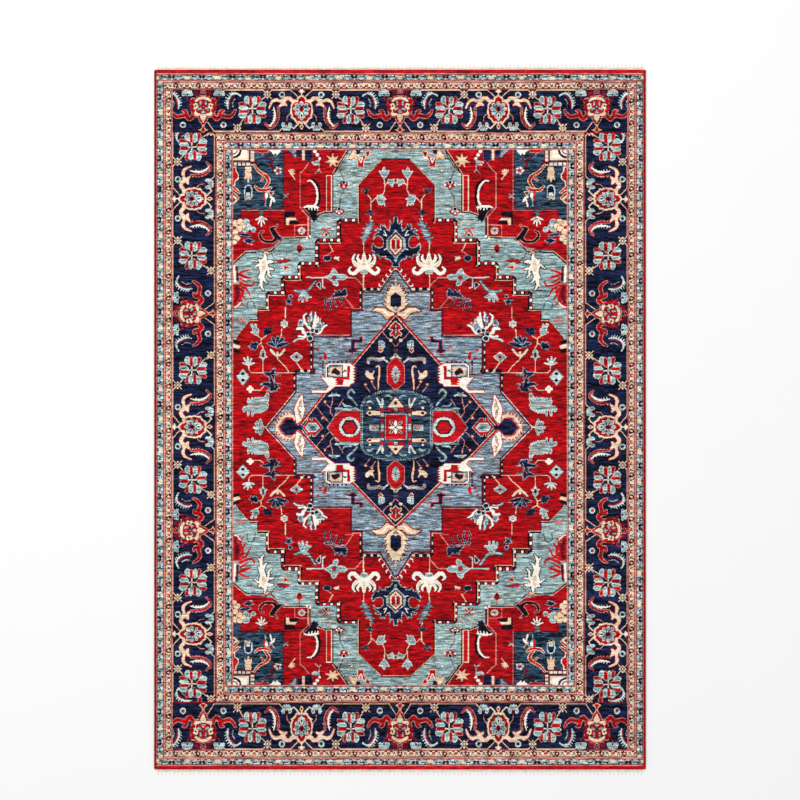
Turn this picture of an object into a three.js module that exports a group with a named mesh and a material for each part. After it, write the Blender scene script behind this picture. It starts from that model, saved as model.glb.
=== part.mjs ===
// A hand-knotted wool area rug: a woven cotton foundation, the wool pile in one tile for each
// ground colour, red corded selvedges, and at each end a strip of flat weave and a short fringe.
// X runs across the rug, Y along it and Z up from the floor. The origin is the middle of the
// rug's underside, and all sizes are in millimetres.

import * as THREE from 'three';

// Overall sizes
const RUG_WIDTH = 2460; // over both selvedges
const PILE_LENGTH = 3500; // from one end of the pile to the other
const FOUNDATION_THICKNESS = 3;
const PILE_HEIGHT = 6; // above the foundation
const TILE_GAP = 0.3; // running gap between neighbouring solids

// Selvedges and ends
const SELVEDGE_WIDTH = 12;
const SELVEDGE_HEIGHT = 8;
const FLAT_WEAVE_LENGTH = 8;
const KNOT_ROW_LENGTH = 4; // the fringe's row of locking knots
const TASSEL_LENGTH = 18; // beyond the locking knots
const TASSEL_WIDTH = 7;
const TASSEL_PITCH = 20;

// Borders, from the outside in
const END_STRIPE_WIDTH = 19;
const OUTER_BLUE_WIDTH = 40;
const OUTER_CREAM_WIDTH = 40;
const MAIN_BORDER_WIDTH = 217;
const BOTTOM_BORDER_WIDTH = 238; // the end that was woven first is beaten more loosely
const INNER_CREAM_WIDTH = 44;
const INNER_BLUE_WIDTH = 42;

// The field's design is drawn once, for one quarter, from its middle. U runs outwards to the
// side and V towards the end, and each quarter is woven to its own width and length.
const DRAWN_HALF_WIDTH = 807;
const DRAWN_HALF_LENGTH = 1385;
const DESIGN_MIDDLE_X = -22; // the medallion sits a little off the middle of the rug
const DESIGN_MIDDLE_Y = -40;
// Shares of the lower half's length: where a height in the drawing comes out on the loom.
const LOWER_DRIFT = [[0, 0], [0.41, 0.388], [0.57, 0.585], [1, 1]];

// Stepped edge of the red field, from the end of the rug round to its side
const FIELD_EDGE = [
  [66, 1340], [181, 1215], [181, 1025], [274, 1025], [274, 925], [381, 925], [381, 809],
  [469, 809], [469, 739], [551, 739], [551, 664], [626, 664], [626, 589], [685, 589],
  [685, 538], [721, 538], [779, 465], [DRAWN_HALF_WIDTH, 409],
];
// Inner edge of the red corner panel, from the side round to the end
const PANEL_EDGE = [
  [DRAWN_HALF_WIDTH, 815], [745, 872], [618, 878], [555, 945], [432, 947], [432, 1040],
  [345, 1075], [312, 1075], [312, 1262], [235, DRAWN_HALF_LENGTH],
];
// Inner edge of the teal corner block, from the side round to the end
const BLOCK_EDGE = [
  [DRAWN_HALF_WIDTH, 1041], [766, 1041], [766, 1088], [557, 1088], [557, DRAWN_HALF_LENGTH],
];
const MEDALLION_EDGE = [
  [0, 788], [75, 681], [162, 681], [162, 590], [216, 590], [216, 457], [406, 457], [406, 273],
  [490, 273], [490, 182], [637, 0],
];
const DIAMOND_EDGE = [[0, 567], [210, 318], [320, 212], [485, 0]];
const CENTRE_EDGE = [[0, 183], [75, 180], [150, 145], [170, 110], [170, 0]];

const COLOURS = {
  cotton: 0xe9dcc4,
  red: 0xa41c28,
  pale_blue: 0x91a4a3,
  cream: 0xe8cfae,
  navy: 0x2b2c44,
  teal: 0x32465a,
  slate: 0x8799ae,
};

const rug = new THREE.Group();

function addNode(name, colour, geometry) {
  const material = new THREE.MeshStandardMaterial({
    color: COLOURS[colour],
    roughness: 0.92,
    metalness: 0,
  });
  const mesh = new THREE.Mesh(geometry, material);
  mesh.name = name;
  rug.add(mesh);
}

// Outlines ---------------------------------------------------------------------------------

function pathFrom(points, PathClass) {
  const path = new PathClass();
  path.setFromPoints(points.map(([x, y]) => new THREE.Vector2(x, y)));
  return path;
}

// The outline moved inwards by a distance, or outwards by a negative one, and anticlockwise.
function inset(points, distance) {
  const corners = points.map(([x, y]) => new THREE.Vector2(x, y));
  if (THREE.ShapeUtils.isClockWise(corners)) {
    corners.reverse();
  }
  return corners.map((corner, i) => {
    const before = corners[(i + corners.length - 1) % corners.length];
    const after = corners[(i + 1) % corners.length];
    const arriving = corner.clone().sub(before).normalize();
    const leaving = after.clone().sub(corner).normalize();
    const normalIn = new THREE.Vector2(-arriving.y, arriving.x);
    const normalOut = new THREE.Vector2(-leaving.y, leaving.x);
    const mitre = normalIn.add(normalOut);
    mitre.multiplyScalar((2 * distance) / mitre.lengthSq());
    return [corner.x + mitre.x, corner.y + mitre.y];
  });
}

function rectangle(box) {
  return [
    [box.left, box.bottom], [box.right, box.bottom], [box.right, box.top], [box.left, box.top],
  ];
}

// A solid with the outline given, standing from one height to another.
function slab(outline, hole, fromZ, toZ) {
  const shape = pathFrom(inset(outline, TILE_GAP / 2), THREE.Shape);
  if (hole) {
    shape.holes.push(pathFrom(inset(hole, -TILE_GAP / 2), THREE.Path));
  }
  const geometry = new THREE.ExtrudeGeometry(shape, { depth: toZ - fromZ, bevelEnabled: false });
  geometry.translate(0, 0, fromZ);
  return geometry;
}

function addPileTile(name, colour, outline, hole = null) {
  const top = FOUNDATION_THICKNESS + PILE_HEIGHT;
  addNode(name, colour, slab(outline, hole, FOUNDATION_THICKNESS, top));
}

// Foundation, selvedges and ends -------------------------------------------------------------

const pile = {
  left: SELVEDGE_WIDTH - RUG_WIDTH / 2,
  right: RUG_WIDTH / 2 - SELVEDGE_WIDTH,
  bottom: -PILE_LENGTH / 2,
  top: PILE_LENGTH / 2,
};

function addFoundation() {
  addNode('foundation', 'cotton', slab(rectangle(pile), null, 0, FOUNDATION_THICKNESS));
}

// A cord of wool overcast on the outer warps: flat where it meets the rug, round outside.
function addSelvedge(name, side) {
  const rounding = SELVEDGE_HEIGHT / 2;
  const inner = pile.right + TILE_GAP / 2;
  const shape = new THREE.Shape();
  shape.moveTo(inner, 0);
  shape.absarc(RUG_WIDTH / 2 - rounding, rounding, rounding, -Math.PI / 2, Math.PI / 2);
  shape.lineTo(inner, SELVEDGE_HEIGHT);
  const geometry = new THREE.ExtrudeGeometry(shape, {
    depth: PILE_LENGTH - TILE_GAP,
    bevelEnabled: false,
    curveSegments: 8,
  });
  geometry.rotateX(Math.PI / 2);
  geometry.translate(0, (PILE_LENGTH - TILE_GAP) / 2, 0);
  if (side < 0) {
    geometry.rotateZ(Math.PI);
  }
  addNode(name, 'red', geometry);
}

function addFlatWeave(name, end) {
  const near = end * pile.top;
  const far = end * (pile.top + FLAT_WEAVE_LENGTH);
  const strip = {
    left: pile.left,
    right: pile.right,
    bottom: Math.min(near, far),
    top: Math.max(near, far),
  };
  addNode(name, 'cotton', slab(rectangle(strip), null, 0, FOUNDATION_THICKNESS));
}

// The warp ends: a row of locking knots with the tassels hanging from it.
function addFringe(name, end) {
  const knots = pile.top + FLAT_WEAVE_LENGTH;
  const roots = knots + KNOT_ROW_LENGTH;
  const tips = roots + TASSEL_LENGTH;
  const width = pile.right - pile.left;
  const count = Math.floor((width - TASSEL_WIDTH) / TASSEL_PITCH) + 1;
  const first = -((count - 1) * TASSEL_PITCH) / 2;
  const outline = [[pile.left, roots], [pile.left, knots], [pile.right, knots], [pile.right, roots]];
  for (let i = count - 1; i >= 0; i -= 1) {
    const middle = first + i * TASSEL_PITCH;
    const left = middle - TASSEL_WIDTH / 2;
    const right = middle + TASSEL_WIDTH / 2;
    outline.push([right, roots], [right, tips], [left, tips], [left, roots]);
  }
  const geometry = slab(outline, null, 0, FOUNDATION_THICKNESS);
  if (end < 0) {
    geometry.rotateZ(Math.PI);
  }
  addNode(name, 'cotton', geometry);
}

// Borders ------------------------------------------------------------------------------------

// Four strips of pile around the box given; returns the box that is left inside them.
function addBorder(name, colour, outer, width, bottomWidth = width) {
  const inner = {
    left: outer.left + width,
    right: outer.right - width,
    bottom: outer.bottom + bottomWidth,
    top: outer.top - width,
  };
  addPileTile(`${name}_top`, colour, rectangle({ ...outer, bottom: inner.top }));
  addPileTile(`${name}_bottom`, colour, rectangle({ ...outer, top: inner.bottom }));
  const sides = { ...outer, bottom: inner.bottom, top: inner.top };
  addPileTile(`${name}_left`, colour, rectangle({ ...sides, right: inner.left }));
  addPileTile(`${name}_right`, colour, rectangle({ ...sides, left: inner.right }));
  return inner;
}

function addEndStripes() {
  const inner = {
    ...pile,
    bottom: pile.bottom + END_STRIPE_WIDTH,
    top: pile.top - END_STRIPE_WIDTH,
  };
  addPileTile('end_stripe_top', 'red', rectangle({ ...pile, bottom: inner.top }));
  addPileTile('end_stripe_bottom', 'red', rectangle({ ...pile, top: inner.bottom }));
  return inner;
}

// Field --------------------------------------------------------------------------------------

// A share of the lower half's length, read off the drift between its two nearest stops.
function lowerShare(share) {
  const last = LOWER_DRIFT.findIndex(([drawn]) => drawn >= share);
  const [drawnTo, wovenTo] = LOWER_DRIFT[Math.max(last, 1)];
  const [drawnFrom, wovenFrom] = LOWER_DRIFT[Math.max(last, 1) - 1];
  return wovenFrom + ((share - drawnFrom) * (wovenTo - wovenFrom)) / (drawnTo - drawnFrom);
}

// Where a point of the drawing lies on the rug. U is negative to the left and V is negative
// towards the lower end.
function woven(field, [u, v]) {
  const sideRun = u < 0 ? DESIGN_MIDDLE_X - field.left : field.right - DESIGN_MIDDLE_X;
  const x = DESIGN_MIDDLE_X + (u * sideRun) / DRAWN_HALF_WIDTH;
  if (v >= 0) {
    return [x, DESIGN_MIDDLE_Y + (v * (field.top - DESIGN_MIDDLE_Y)) / DRAWN_HALF_LENGTH];
  }
  const lowerRun = DESIGN_MIDDLE_Y - field.bottom;
  return [x, DESIGN_MIDDLE_Y - lowerRun * lowerShare(-v / DRAWN_HALF_LENGTH)];
}

function mirrored(points, sideSign, endSign) {
  return points.map(([u, v]) => [u * sideSign, v * endSign]);
}

// A whole outline from a quarter that runs from the end of the rug round to its side.
function fourQuarters(quarter) {
  const whole = [
    ...quarter,
    ...mirrored(quarter, 1, -1).reverse(),
    ...mirrored(quarter, -1, -1),
    ...mirrored(quarter, -1, 1).reverse(),
  ];
  return whole.filter(([u, v], i) => {
    const [nextU, nextV] = whole[(i + 1) % whole.length];
    return Math.hypot(nextU - u, nextV - v) > TILE_GAP;
  });
}

function addField(field) {
  const place = (points) => points.map((point) => woven(field, point));
  const fieldEdge = place(fourQuarters(FIELD_EDGE));
  const medallionEdge = place(fourQuarters(MEDALLION_EDGE));
  const diamondEdge = place(fourQuarters(DIAMOND_EDGE));
  const centreEdge = place(fourQuarters(CENTRE_EDGE));
  addPileTile('field_ground', 'red', fieldEdge, medallionEdge);
  addPileTile('medallion_ground', 'slate', medallionEdge, diamondEdge);
  addPileTile('medallion_diamond', 'navy', diamondEdge, centreEdge);
  addPileTile('medallion_centre', 'teal', centreEdge);

  for (const [end, endSign] of [['top', 1], ['bottom', -1]]) {
    const spandrel = [
      ...FIELD_EDGE,
      ...PANEL_EDGE,
      ...mirrored(PANEL_EDGE, -1, 1).reverse(),
      ...mirrored(FIELD_EDGE, -1, 1).reverse(),
    ];
    addPileTile(`spandrel_${end}`, 'pale_blue', place(mirrored(spandrel, 1, endSign)));

    for (const [side, sideSign] of [['left', -1], ['right', 1]]) {
      const panel = [...PANEL_EDGE, ...[...BLOCK_EDGE].reverse()];
      const block = [...BLOCK_EDGE, [DRAWN_HALF_WIDTH, DRAWN_HALF_LENGTH]];
      addPileTile(`corner_panel_${end}_${side}`, 'red', place(mirrored(panel, sideSign, endSign)));
      addPileTile(`corner_block_${end}_${side}`, 'teal', place(mirrored(block, sideSign, endSign)));
    }
  }
}

// Assembly -----------------------------------------------------------------------------------

addFoundation();
addSelvedge('selvedge_left', -1);
addSelvedge('selvedge_right', 1);
addFlatWeave('end_weave_top', 1);
addFlatWeave('end_weave_bottom', -1);
addFringe('fringe_top', 1);
addFringe('fringe_bottom', -1);

let inside = addEndStripes();
inside = addBorder('outer_blue_guard', 'pale_blue', inside, OUTER_BLUE_WIDTH);
inside = addBorder('outer_cream_guard', 'cream', inside, OUTER_CREAM_WIDTH);
inside = addBorder('main_border', 'navy', inside, MAIN_BORDER_WIDTH, BOTTOM_BORDER_WIDTH);
inside = addBorder('inner_cream_guard', 'cream', inside, INNER_CREAM_WIDTH);
inside = addBorder('inner_blue_guard', 'pale_blue', inside, INNER_BLUE_WIDTH);
addField(inside);

export default rug;
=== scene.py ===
import math

import bpy
import numpy as np
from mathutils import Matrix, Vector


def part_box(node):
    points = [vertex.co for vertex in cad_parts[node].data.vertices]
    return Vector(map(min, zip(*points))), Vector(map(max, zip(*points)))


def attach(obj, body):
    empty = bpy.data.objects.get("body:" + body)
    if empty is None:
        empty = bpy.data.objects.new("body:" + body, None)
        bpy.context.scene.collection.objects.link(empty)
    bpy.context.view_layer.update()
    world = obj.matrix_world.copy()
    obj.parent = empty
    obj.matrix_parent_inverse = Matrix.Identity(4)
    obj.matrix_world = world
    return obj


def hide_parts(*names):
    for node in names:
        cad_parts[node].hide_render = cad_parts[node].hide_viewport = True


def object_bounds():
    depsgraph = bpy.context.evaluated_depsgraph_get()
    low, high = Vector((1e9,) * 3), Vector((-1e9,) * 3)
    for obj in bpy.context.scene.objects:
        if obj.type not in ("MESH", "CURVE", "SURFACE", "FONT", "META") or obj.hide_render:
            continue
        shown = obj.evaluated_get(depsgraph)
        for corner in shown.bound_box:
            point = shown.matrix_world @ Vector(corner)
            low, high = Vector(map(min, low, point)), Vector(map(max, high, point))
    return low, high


# A hand-knotted wool area rug. The pattern is drawn knot by knot: small drawings in yarn
# colours, one cell to a millimetre, are stamped on a drawing of the whole pile, and each knot
# of the pile takes the yarn that is drawn at its place. Every length is in millimetres in the
# drawings and in metres in the Blender meshes. X runs across the rug and Y along it.

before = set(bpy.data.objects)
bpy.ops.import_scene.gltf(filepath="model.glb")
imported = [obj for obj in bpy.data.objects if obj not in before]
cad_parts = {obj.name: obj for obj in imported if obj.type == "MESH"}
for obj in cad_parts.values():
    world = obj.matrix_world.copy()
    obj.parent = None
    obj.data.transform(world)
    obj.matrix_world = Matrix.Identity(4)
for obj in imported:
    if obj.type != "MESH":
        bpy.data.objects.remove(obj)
cad_box = [list(corner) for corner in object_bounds()]

MM = 0.001


# Yarns --------------------------------------------------------------------------------------

(BARE, RED, CRIMSON, MAROON, BLACK, NAVY, TEAL, GREEN, PALE, ICE, SLATE, CREAM, IVORY, PEACH,
 PINK) = range(-1, 14)

# The dyed colour of each yarn from RED on, as sRGB from 0 to 255
DYES = [
    (156, 16, 22),  # red
    (180, 22, 30),  # crimson
    (96, 18, 32),  # maroon
    (22, 18, 28),  # black
    (22, 27, 50),  # navy
    (40, 56, 71),  # teal
    (74, 96, 96),  # green
    (140, 162, 162),  # pale blue
    (196, 214, 210),  # ice blue
    (120, 135, 147),  # slate
    (234, 206, 176),  # cream
    (250, 240, 226),  # ivory
    (238, 190, 152),  # peach
    (200, 130, 120),  # pink
]

# How far uneven dyeing takes each yarn from its colour, as a share of it
UNEVEN = [0.26, 0.18, 0.25, 0.3, 0.65, 0.75, 0.4, 0.27, 0.14, 0.35, 0.11, 0.05, 0.1, 0.18]


# Drawing ------------------------------------------------------------------------------------


class Tile:
    """A drawing in yarns, one cell to a millimetre. X runs right and Y runs up."""

    def __init__(self, left, right, bottom, top, ground=BARE):
        self.left = left
        self.bottom = bottom
        self.cells = np.full((top - bottom, right - left), ground, np.int8)

    def window(self, points, spare):
        """A view of the cells round some points, with the X and Y of their middles."""
        height, width = self.cells.shape
        across = [point[0] - self.left for point in points]
        along = [point[1] - self.bottom for point in points]
        x0 = min(max(int(min(across) - spare), 0), width)
        x1 = min(max(int(max(across) + spare) + 1, 0), width)
        y0 = min(max(int(min(along) - spare), 0), height)
        y1 = min(max(int(max(along) + spare) + 1, 0), height)
        x = self.left + np.arange(x0, x1) + 0.5
        y = self.bottom + np.arange(y0, y1)[:, None] + 0.5
        return self.cells[y0:y1, x0:x1], x, y

    def area(self, outline, yarn, edge=None, edge_width=5):
        """A filled shape with straight sides, with a line of another yarn round it."""
        cells, x, y = self.window(outline, edge_width)
        inside = np.zeros(cells.shape, bool)
        for (xa, ya), (xb, yb) in zip(outline, outline[1:] + outline[:1]):
            if ya != yb:
                crosses = (y < ya) != (y < yb)
                inside ^= crosses & (x < xa + (y - ya) * (xb - xa) / (yb - ya))
        cells[inside] = yarn
        if edge is not None:
            self.line(outline + outline[:1], edge, edge_width)

    def stroke(self, points, yarn, edge=None, edge_width=4):
        """A brush stroke through points (x, y, radius), with another yarn round it."""
        line = smooth(points)
        cells, x, y = self.window(points, max(point[2] for point in points) + edge_width + 4)
        gap = np.full(cells.shape, 1e6)
        for px, py, radius in line:
            np.minimum(gap, np.hypot(x - px, y - py) - radius, out=gap)
        if edge is not None:
            cells[gap < edge_width] = edge
        cells[gap < 0] = yarn

    def joined(self, strokes, yarn, edge, edge_width=3):
        """Brush strokes that run together, with another yarn round them all."""
        for outline in (edge, None):
            for points in strokes:
                self.stroke(points, yarn, outline, edge_width)

    def line(self, points, yarn, width=4):
        """A line of one width through points (x, y)."""
        for (xa, ya), (xb, yb) in zip(points, points[1:]):
            cells, x, y = self.window([(xa, ya), (xb, yb)], width)
            cells[distance(x, y, xa, ya, xb, yb) < width / 2] = yarn

    def oval(self, x, y, rx, ry, yarn, edge=None, edge_width=4):
        """A filled oval, with a ring of another yarn round it."""
        if edge is not None:
            self.oval(x, y, rx + edge_width, ry + edge_width, edge)
        cells, xs, ys = self.window([(x - rx, y - ry), (x + rx, y + ry)], 1)
        cells[np.hypot((xs - x) / rx, (ys - y) / ry) < 1] = yarn

    def dot(self, x, y, radius, yarn, edge=None, edge_width=4):
        """A filled circle, with a ring of another yarn round it."""
        self.oval(x, y, radius, radius, yarn, edge, edge_width)

    def petals(self, x, y, count, reach, radius, yarn, start=0, edge=None, edge_width=4):
        """Round petals in a ring, the first of them at the start angle, in degrees."""
        for petal in range(count):
            angle = math.radians(start + 360 / count * petal)
            petal_x, petal_y = x + reach * math.cos(angle), y + reach * math.sin(angle)
            self.dot(petal_x, petal_y, radius, yarn, edge, edge_width)

    def rectangle(self, left, right, bottom, top, yarn, edge=None, edge_width=5):
        """A filled rectangle, with a line of another yarn round it."""
        corners = [(left, bottom), (right, bottom), (right, top), (left, top)]
        self.area(corners, yarn, edge, edge_width)

    def stamp(self, tile, x, y, turn=0):
        """Another drawing, its own (0, 0) put at x and y after some quarter turns left."""
        cells = np.rot90(tile.cells, -turn)
        height, width = tile.cells.shape
        right, top = tile.left + width, tile.bottom + height
        corner = [
            (tile.left, tile.bottom), (-top, tile.left), (-right, -top), (tile.bottom, -right),
        ][turn % 4]
        x0 = round(x + corner[0] - self.left)
        y0 = round(y + corner[1] - self.bottom)
        above, beside = max(-y0, 0), max(-x0, 0)
        cells = cells[above:, beside:]
        place = self.cells[max(y0, 0):, max(x0, 0):][:cells.shape[0], :cells.shape[1]]
        cells = cells[:place.shape[0], :place.shape[1]]
        drawn = cells != BARE
        place[drawn] = cells[drawn]

    def opened(self):
        """The whole of a drawing that was made as its right half."""
        height, width = self.cells.shape
        whole = Tile(-width, width, self.bottom, self.bottom + height)
        whole.cells = np.hstack([self.cells[:, ::-1], self.cells])
        return whole


def distance(x, y, xa, ya, xb, yb):
    """How far each cell lies from the line between two points."""
    length = max((xb - xa) ** 2 + (yb - ya) ** 2, 1e-9)
    share = np.clip(((x - xa) * (xb - xa) + (y - ya) * (yb - ya)) / length, 0, 1)
    return np.hypot(x - xa - share * (xb - xa), y - ya - share * (yb - ya))


def smooth(points, step=2.5):
    """A curve through all the points, as closely spaced points."""
    path = np.array([points[0], *points, points[-1]], float)
    curve = [path[0]]
    for before, start, end, after in zip(path, path[1:], path[2:], path[3:]):
        count = max(2, int(math.dist(start[:2], end[:2]) / step))
        for t in np.arange(1, count + 1) / count:
            bend = 2 * start + (end - before) * t
            bend = bend + (2 * before - 5 * start + 4 * end - after) * t**2
            curve.append((bend + (3 * start - before - 3 * end + after) * t**3) / 2)
    return curve


def mirrored(half):
    """A closed outline from its right half."""
    return half + [(-x, y) for x, y in reversed(half)]


def arc(x, y, radius, start, end, width, steps=8):
    """Points of a round stroke, its angles in degrees."""
    angles = [math.radians(start + (end - start) * i / steps) for i in range(steps + 1)]
    return [(x + radius * math.cos(a), y + radius * math.sin(a), width) for a in angles]


def spaced(start, end, spacing):
    """Points side by side between two others, about this far apart."""
    count = round(math.dist(start, end) / spacing)
    shares = [(i + 0.5) / count for i in range(count)]
    return [(start[0] + (end[0] - start[0]) * s, start[1] + (end[1] - start[1]) * s) for s in shares]


# Main border --------------------------------------------------------------------------------
# Each flower is drawn with its outer side up. (0, 0) is the middle of the flower, and LIFT is
# how far that is from the middle of the border.

LIFT = 6
BORDER_DRAWN = 217  # the width of border that the flowers are drawn for
BORDER_EDGE = 5  # the dark line along both of its sides
TOOTH_SPACING = 12


def wheel():
    """Sixteen petals round a dark middle."""
    quarter = Tile(-76, 76, -76, 76)
    quarter.area([(-20, 29), (-40, 42), (-39, 58), (-29, 69), (-19, 66)], PALE, ICE, 4)
    quarter.area([(4, 24), (3, 59), (9, 66), (15, 66), (19, 58), (18, 29), (10, 22)], PALE, ICE, 4)
    quarter.area([(-4, 15), (-16, 24), (-17, 59), (-11, 66), (-4, 65), (-1, 56), (-1, 22)], RED, PINK, 3)
    quarter.area([(23, 28), (21, 60), (28, 69), (38, 65), (40, 55), (33, 35)], RED, PINK, 3)
    whole = Tile(-76, 76, -76, 76)
    whole.dot(0, 0, 30, NAVY)
    for turn in range(4):
        whole.stamp(quarter, 0, 0, turn)
    whole.line([(-17, 6), (17, 6)], CREAM, 7)
    whole.line([(0, -17), (0, 24)], CREAM, 7)
    whole.dot(0, 8, 6, PALE)
    return whole


def bud(tile, x, y):
    """A pale five-petalled bud on a stem, opening towards negative Y."""
    for petal_x, petal_y, rx, ry in [(-17, 6, 6, 10), (17, 6, 6, 10), (-11, -11, 6, 9), (11, -11, 6, 9)]:
        tile.oval(x + petal_x, y + petal_y, rx, ry, PALE, ICE, 3)
    tile.oval(x, y - 14, 6, 11, ICE)
    tile.area([(x - 14, y), (x + 14, y), (x + 8, y - 14), (x - 8, y - 14)], PALE)
    tile.dot(x, y + 12, 6, BLACK, MAROON)
    tile.dot(x, y + 1, 4, PINK)


def rosette(tile, x, y, radius=13, core=RED):
    """A round pale flower of eight petals."""
    tile.petals(x, y, 8, radius * 0.72, 6, ICE, 22.5)
    tile.dot(x, y, radius * 0.8, PALE)
    tile.dot(x, y, 5, core, BLACK, 2)


def comb(tile, points, yarn, tooth, edge=None):
    """A stroke with short teeth along it, each of them pointing the same way."""
    for x, y, radius in smooth(points, TOOTH_SPACING)[1:-1]:
        tile.stroke([(x, y, radius), (x + tooth[0], y + tooth[1], 1)], yarn, edge, 2)
    tile.stroke(points, yarn, edge, 2)


def aster():
    """A red flower with a pale one inside, between two scrolls and two leaves."""
    half = Tile(0, 200, -112, 105)
    comb(half, [(119, 12, 2), (117, -20, 4), (121, -50, 5), (138, -80, 4), (160, -88, 4),
                (182, -68, 3)], RED, (-8, 5), PINK)
    comb(half, [(140, 14, 2), (134, -12, 4), (134, -38, 5), (144, -64, 4), (160, -80, 2)], IVORY,
         (10, -5))
    half.line([(58, -18), (72, -34), (74, -55)], PINK)
    bud(half, 75, -80)
    half.joined([
        [(76, 24, 4), (86, 30, 8), (98, 28, 8), (112, 16, 3)],
        [(30, 48, 5), (45, 46, 8), (60, 58, 9), (76, 58, 9), (92, 46, 10), (112, 46, 6),
         (128, 50, 8), (148, 40, 6), (162, 10, 3)],
    ], CREAM, RED, 3)
    half.line([(55, -82), (40, -92), (26, -80), (12, -64)], CREAM, 6)
    body = [(0, 72), (10, 66), (20, 57), (21, 45), (34, 43), (46, 33), (51, 20), (51, 5), (54, -5),
            (51, -20), (46, -30), (50, -36), (36, -45), (28, -56), (24, -63), (10, -60), (0, -66)]
    half.area(mirrored(body), RED, CREAM, 8)
    for x, y in [(0, 40), (29, 31), (37, 7), (30, -20), (12, -38), (0, -48)]:
        half.stroke([(0.4 * x, 0.4 * y, 7), (0.75 * x, 0.75 * y, 7), (x, y, 1)], PALE, ICE, 3)
    for x, y in [(10, 24), (24, 15), (26, -6), (14, -24)]:
        half.stroke([(x, y, 3), (0.6 * x, 0.6 * y, 3)], TEAL)
    half.oval(0, 5, 7, 10, BLACK, RED, 5)
    half.oval(0, -28, 5, 8, TEAL, IVORY, 3)
    half.line([(0, 72), (0, 86), (13, 93)], CREAM, 6)
    half.dot(0, 95, 6, IVORY, PEACH)
    half.area([(0, -70), (8, -84), (0, -96), (-8, -84)], RED, PEACH)
    rosette(half, 98, 76, 14, BLACK)
    return half.opened()


def palmette():
    """A shield-shaped flower on a red vine."""
    half = Tile(0, 200, -112, 105)
    comb(half, [(150, 10, 1), (146, 34, 2), (158, 56, 2)], PALE, (7, 5))
    comb(half, [(124, 6, 2), (121, 30, 4), (127, 54, 4), (142, 76, 4), (166, 82, 4), (186, 72, 4)],
         ICE, (-14, 9))
    half.stroke([(131, 8, 2), (130, 36, 3), (140, 62, 3), (158, 76, 2)], RED)
    half.joined([
        [(20, -30, 8), (45, -26, 9), (68, -44, 9), (88, -28, 9), (108, -30, 8), (130, -34, 8),
         (150, -20, 6), (160, -2, 4)],
        [(84, -26, 9), (88, -8, 7), (102, -4, 3)],
        [(46, -24, 6), (56, -6, 3)],
    ], RED, PINK, 3)
    bell = [(0, 72), (26, 70), (44, 58), (56, 60), (64, 46), (60, 24), (52, 6), (49, -10), (46, -26),
            (24, -36), (22, -48), (14, -62), (5, -74), (0, -84)]
    half.area(mirrored(bell), RED, PINK, 4)
    half.area(mirrored([(0, 68), (26, 64), (44, 52), (52, 30), (48, 6), (44, -24), (20, -34),
                        (0, -34)]), BLACK)
    half.area(mirrored([(0, 54), (28, 48), (30, -18), (0, -20)]), RED)
    half.joined([[(0, 60, 7), (22, 56, 7), (36, 46, 6)], arc(38, 20, 10, 130, -160, 5),
                 [(42, 8, 6), (40, -8, 5), (36, -20, 8), (14, -24, 5)]], CREAM, MAROON, 2)
    half.area(mirrored([(0, -18), (17, -26), (15, -40), (0, -66)]), CREAM, MAROON, 2)
    half.oval(14, 34, 5, 12, PALE)
    half.stroke([(13, 8, 4), (24, 4, 5)], PALE)
    half.area(mirrored([(0, 2), (12, -12), (0, -16)]), PALE)
    half.oval(0, 15, 7, 8, BLACK, RED, 4)
    half.oval(0, 15, 3, 3, SLATE)
    half.area(mirrored([(0, 56), (7, 46), (0, 28)]), CRIMSON)
    for x, y in [(62, 44), (66, 22), (60, 2)]:
        half.stroke([(x - 12, y - 6, 7), (x + 4, y + 6, 2)], RED, MAROON, 2)
    half.area(mirrored([(0, -76), (5, -82), (6, -90), (14, -98), (22, -100), (10, -104),
                        (0, -112)]), RED, PEACH, 3)
    half.stroke(arc(0, 84, 10, 0, 180, 4), RED, PINK, 2)
    half.stroke([(22, 72, 2), (27, 86, 3), (34, 86, 3), (38, 66, 3)], MAROON, RED, 2)
    for petal in range(6):
        half.stroke([(80, 76, 2)] + arc(80, 76, 21, 5 + 34 * petal, 5 + 34 * petal, 5, 1), PALE, ICE, 2)
    half.dot(80, 77, 6, BLACK, ICE, 2)
    half.line([(78, 68), (80, 56), (70, 46)], RED)
    rosette(half, 101, -75)
    return half.opened()


def crossing(tile, x, y):
    """Where the border's two lines cross: a small cream flower of four petals."""
    for side in (-1, 1):
        tile.line([(x - 20, y - 20 * side), (x + 20, y + 20 * side)], PEACH, 4)
        tile.dot(x + 14 * side, y, 5, CREAM)
        tile.dot(x, y + 14 * side, 5, CREAM)
    tile.dot(x, y, 4, IVORY, BLACK, 2)


def trellis(tile, wheel_x, aster_x, palmette_x):
    """The straight lines round one wheel, towards the aster on one side and the palmette."""
    to_aster = math.copysign(1, aster_x - wheel_x)
    outer_x = wheel_x + 75 * to_aster
    inner_x = wheel_x - 75 * to_aster
    lines = [
        [(aster_x - 20 * to_aster, 68), (aster_x - 55 * to_aster, 100), (outer_x + 23 * to_aster, 100),
         (outer_x, 77), (wheel_x + 45 * to_aster, 50)],
        [(outer_x, 77), (outer_x - 23 * to_aster, 100), (palmette_x + 108 * to_aster, 100),
         (palmette_x + 84 * to_aster, 80)],
        [(palmette_x + 22 * to_aster, -60), (palmette_x + 55 * to_aster, -107),
         (inner_x - 20 * to_aster, -107), (inner_x, -90), (wheel_x - 45 * to_aster, -45)],
        [(inner_x, -90), (inner_x + 20 * to_aster, -107), (aster_x - 112 * to_aster, -107),
         (aster_x - 88 * to_aster, -80)],
    ]
    for points in lines:
        tile.line([(x, y + LIFT) for x, y in points], PEACH, 4)
    crossing(tile, outer_x, 77 + LIFT)
    crossing(tile, inner_x, -90 + LIFT)


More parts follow.
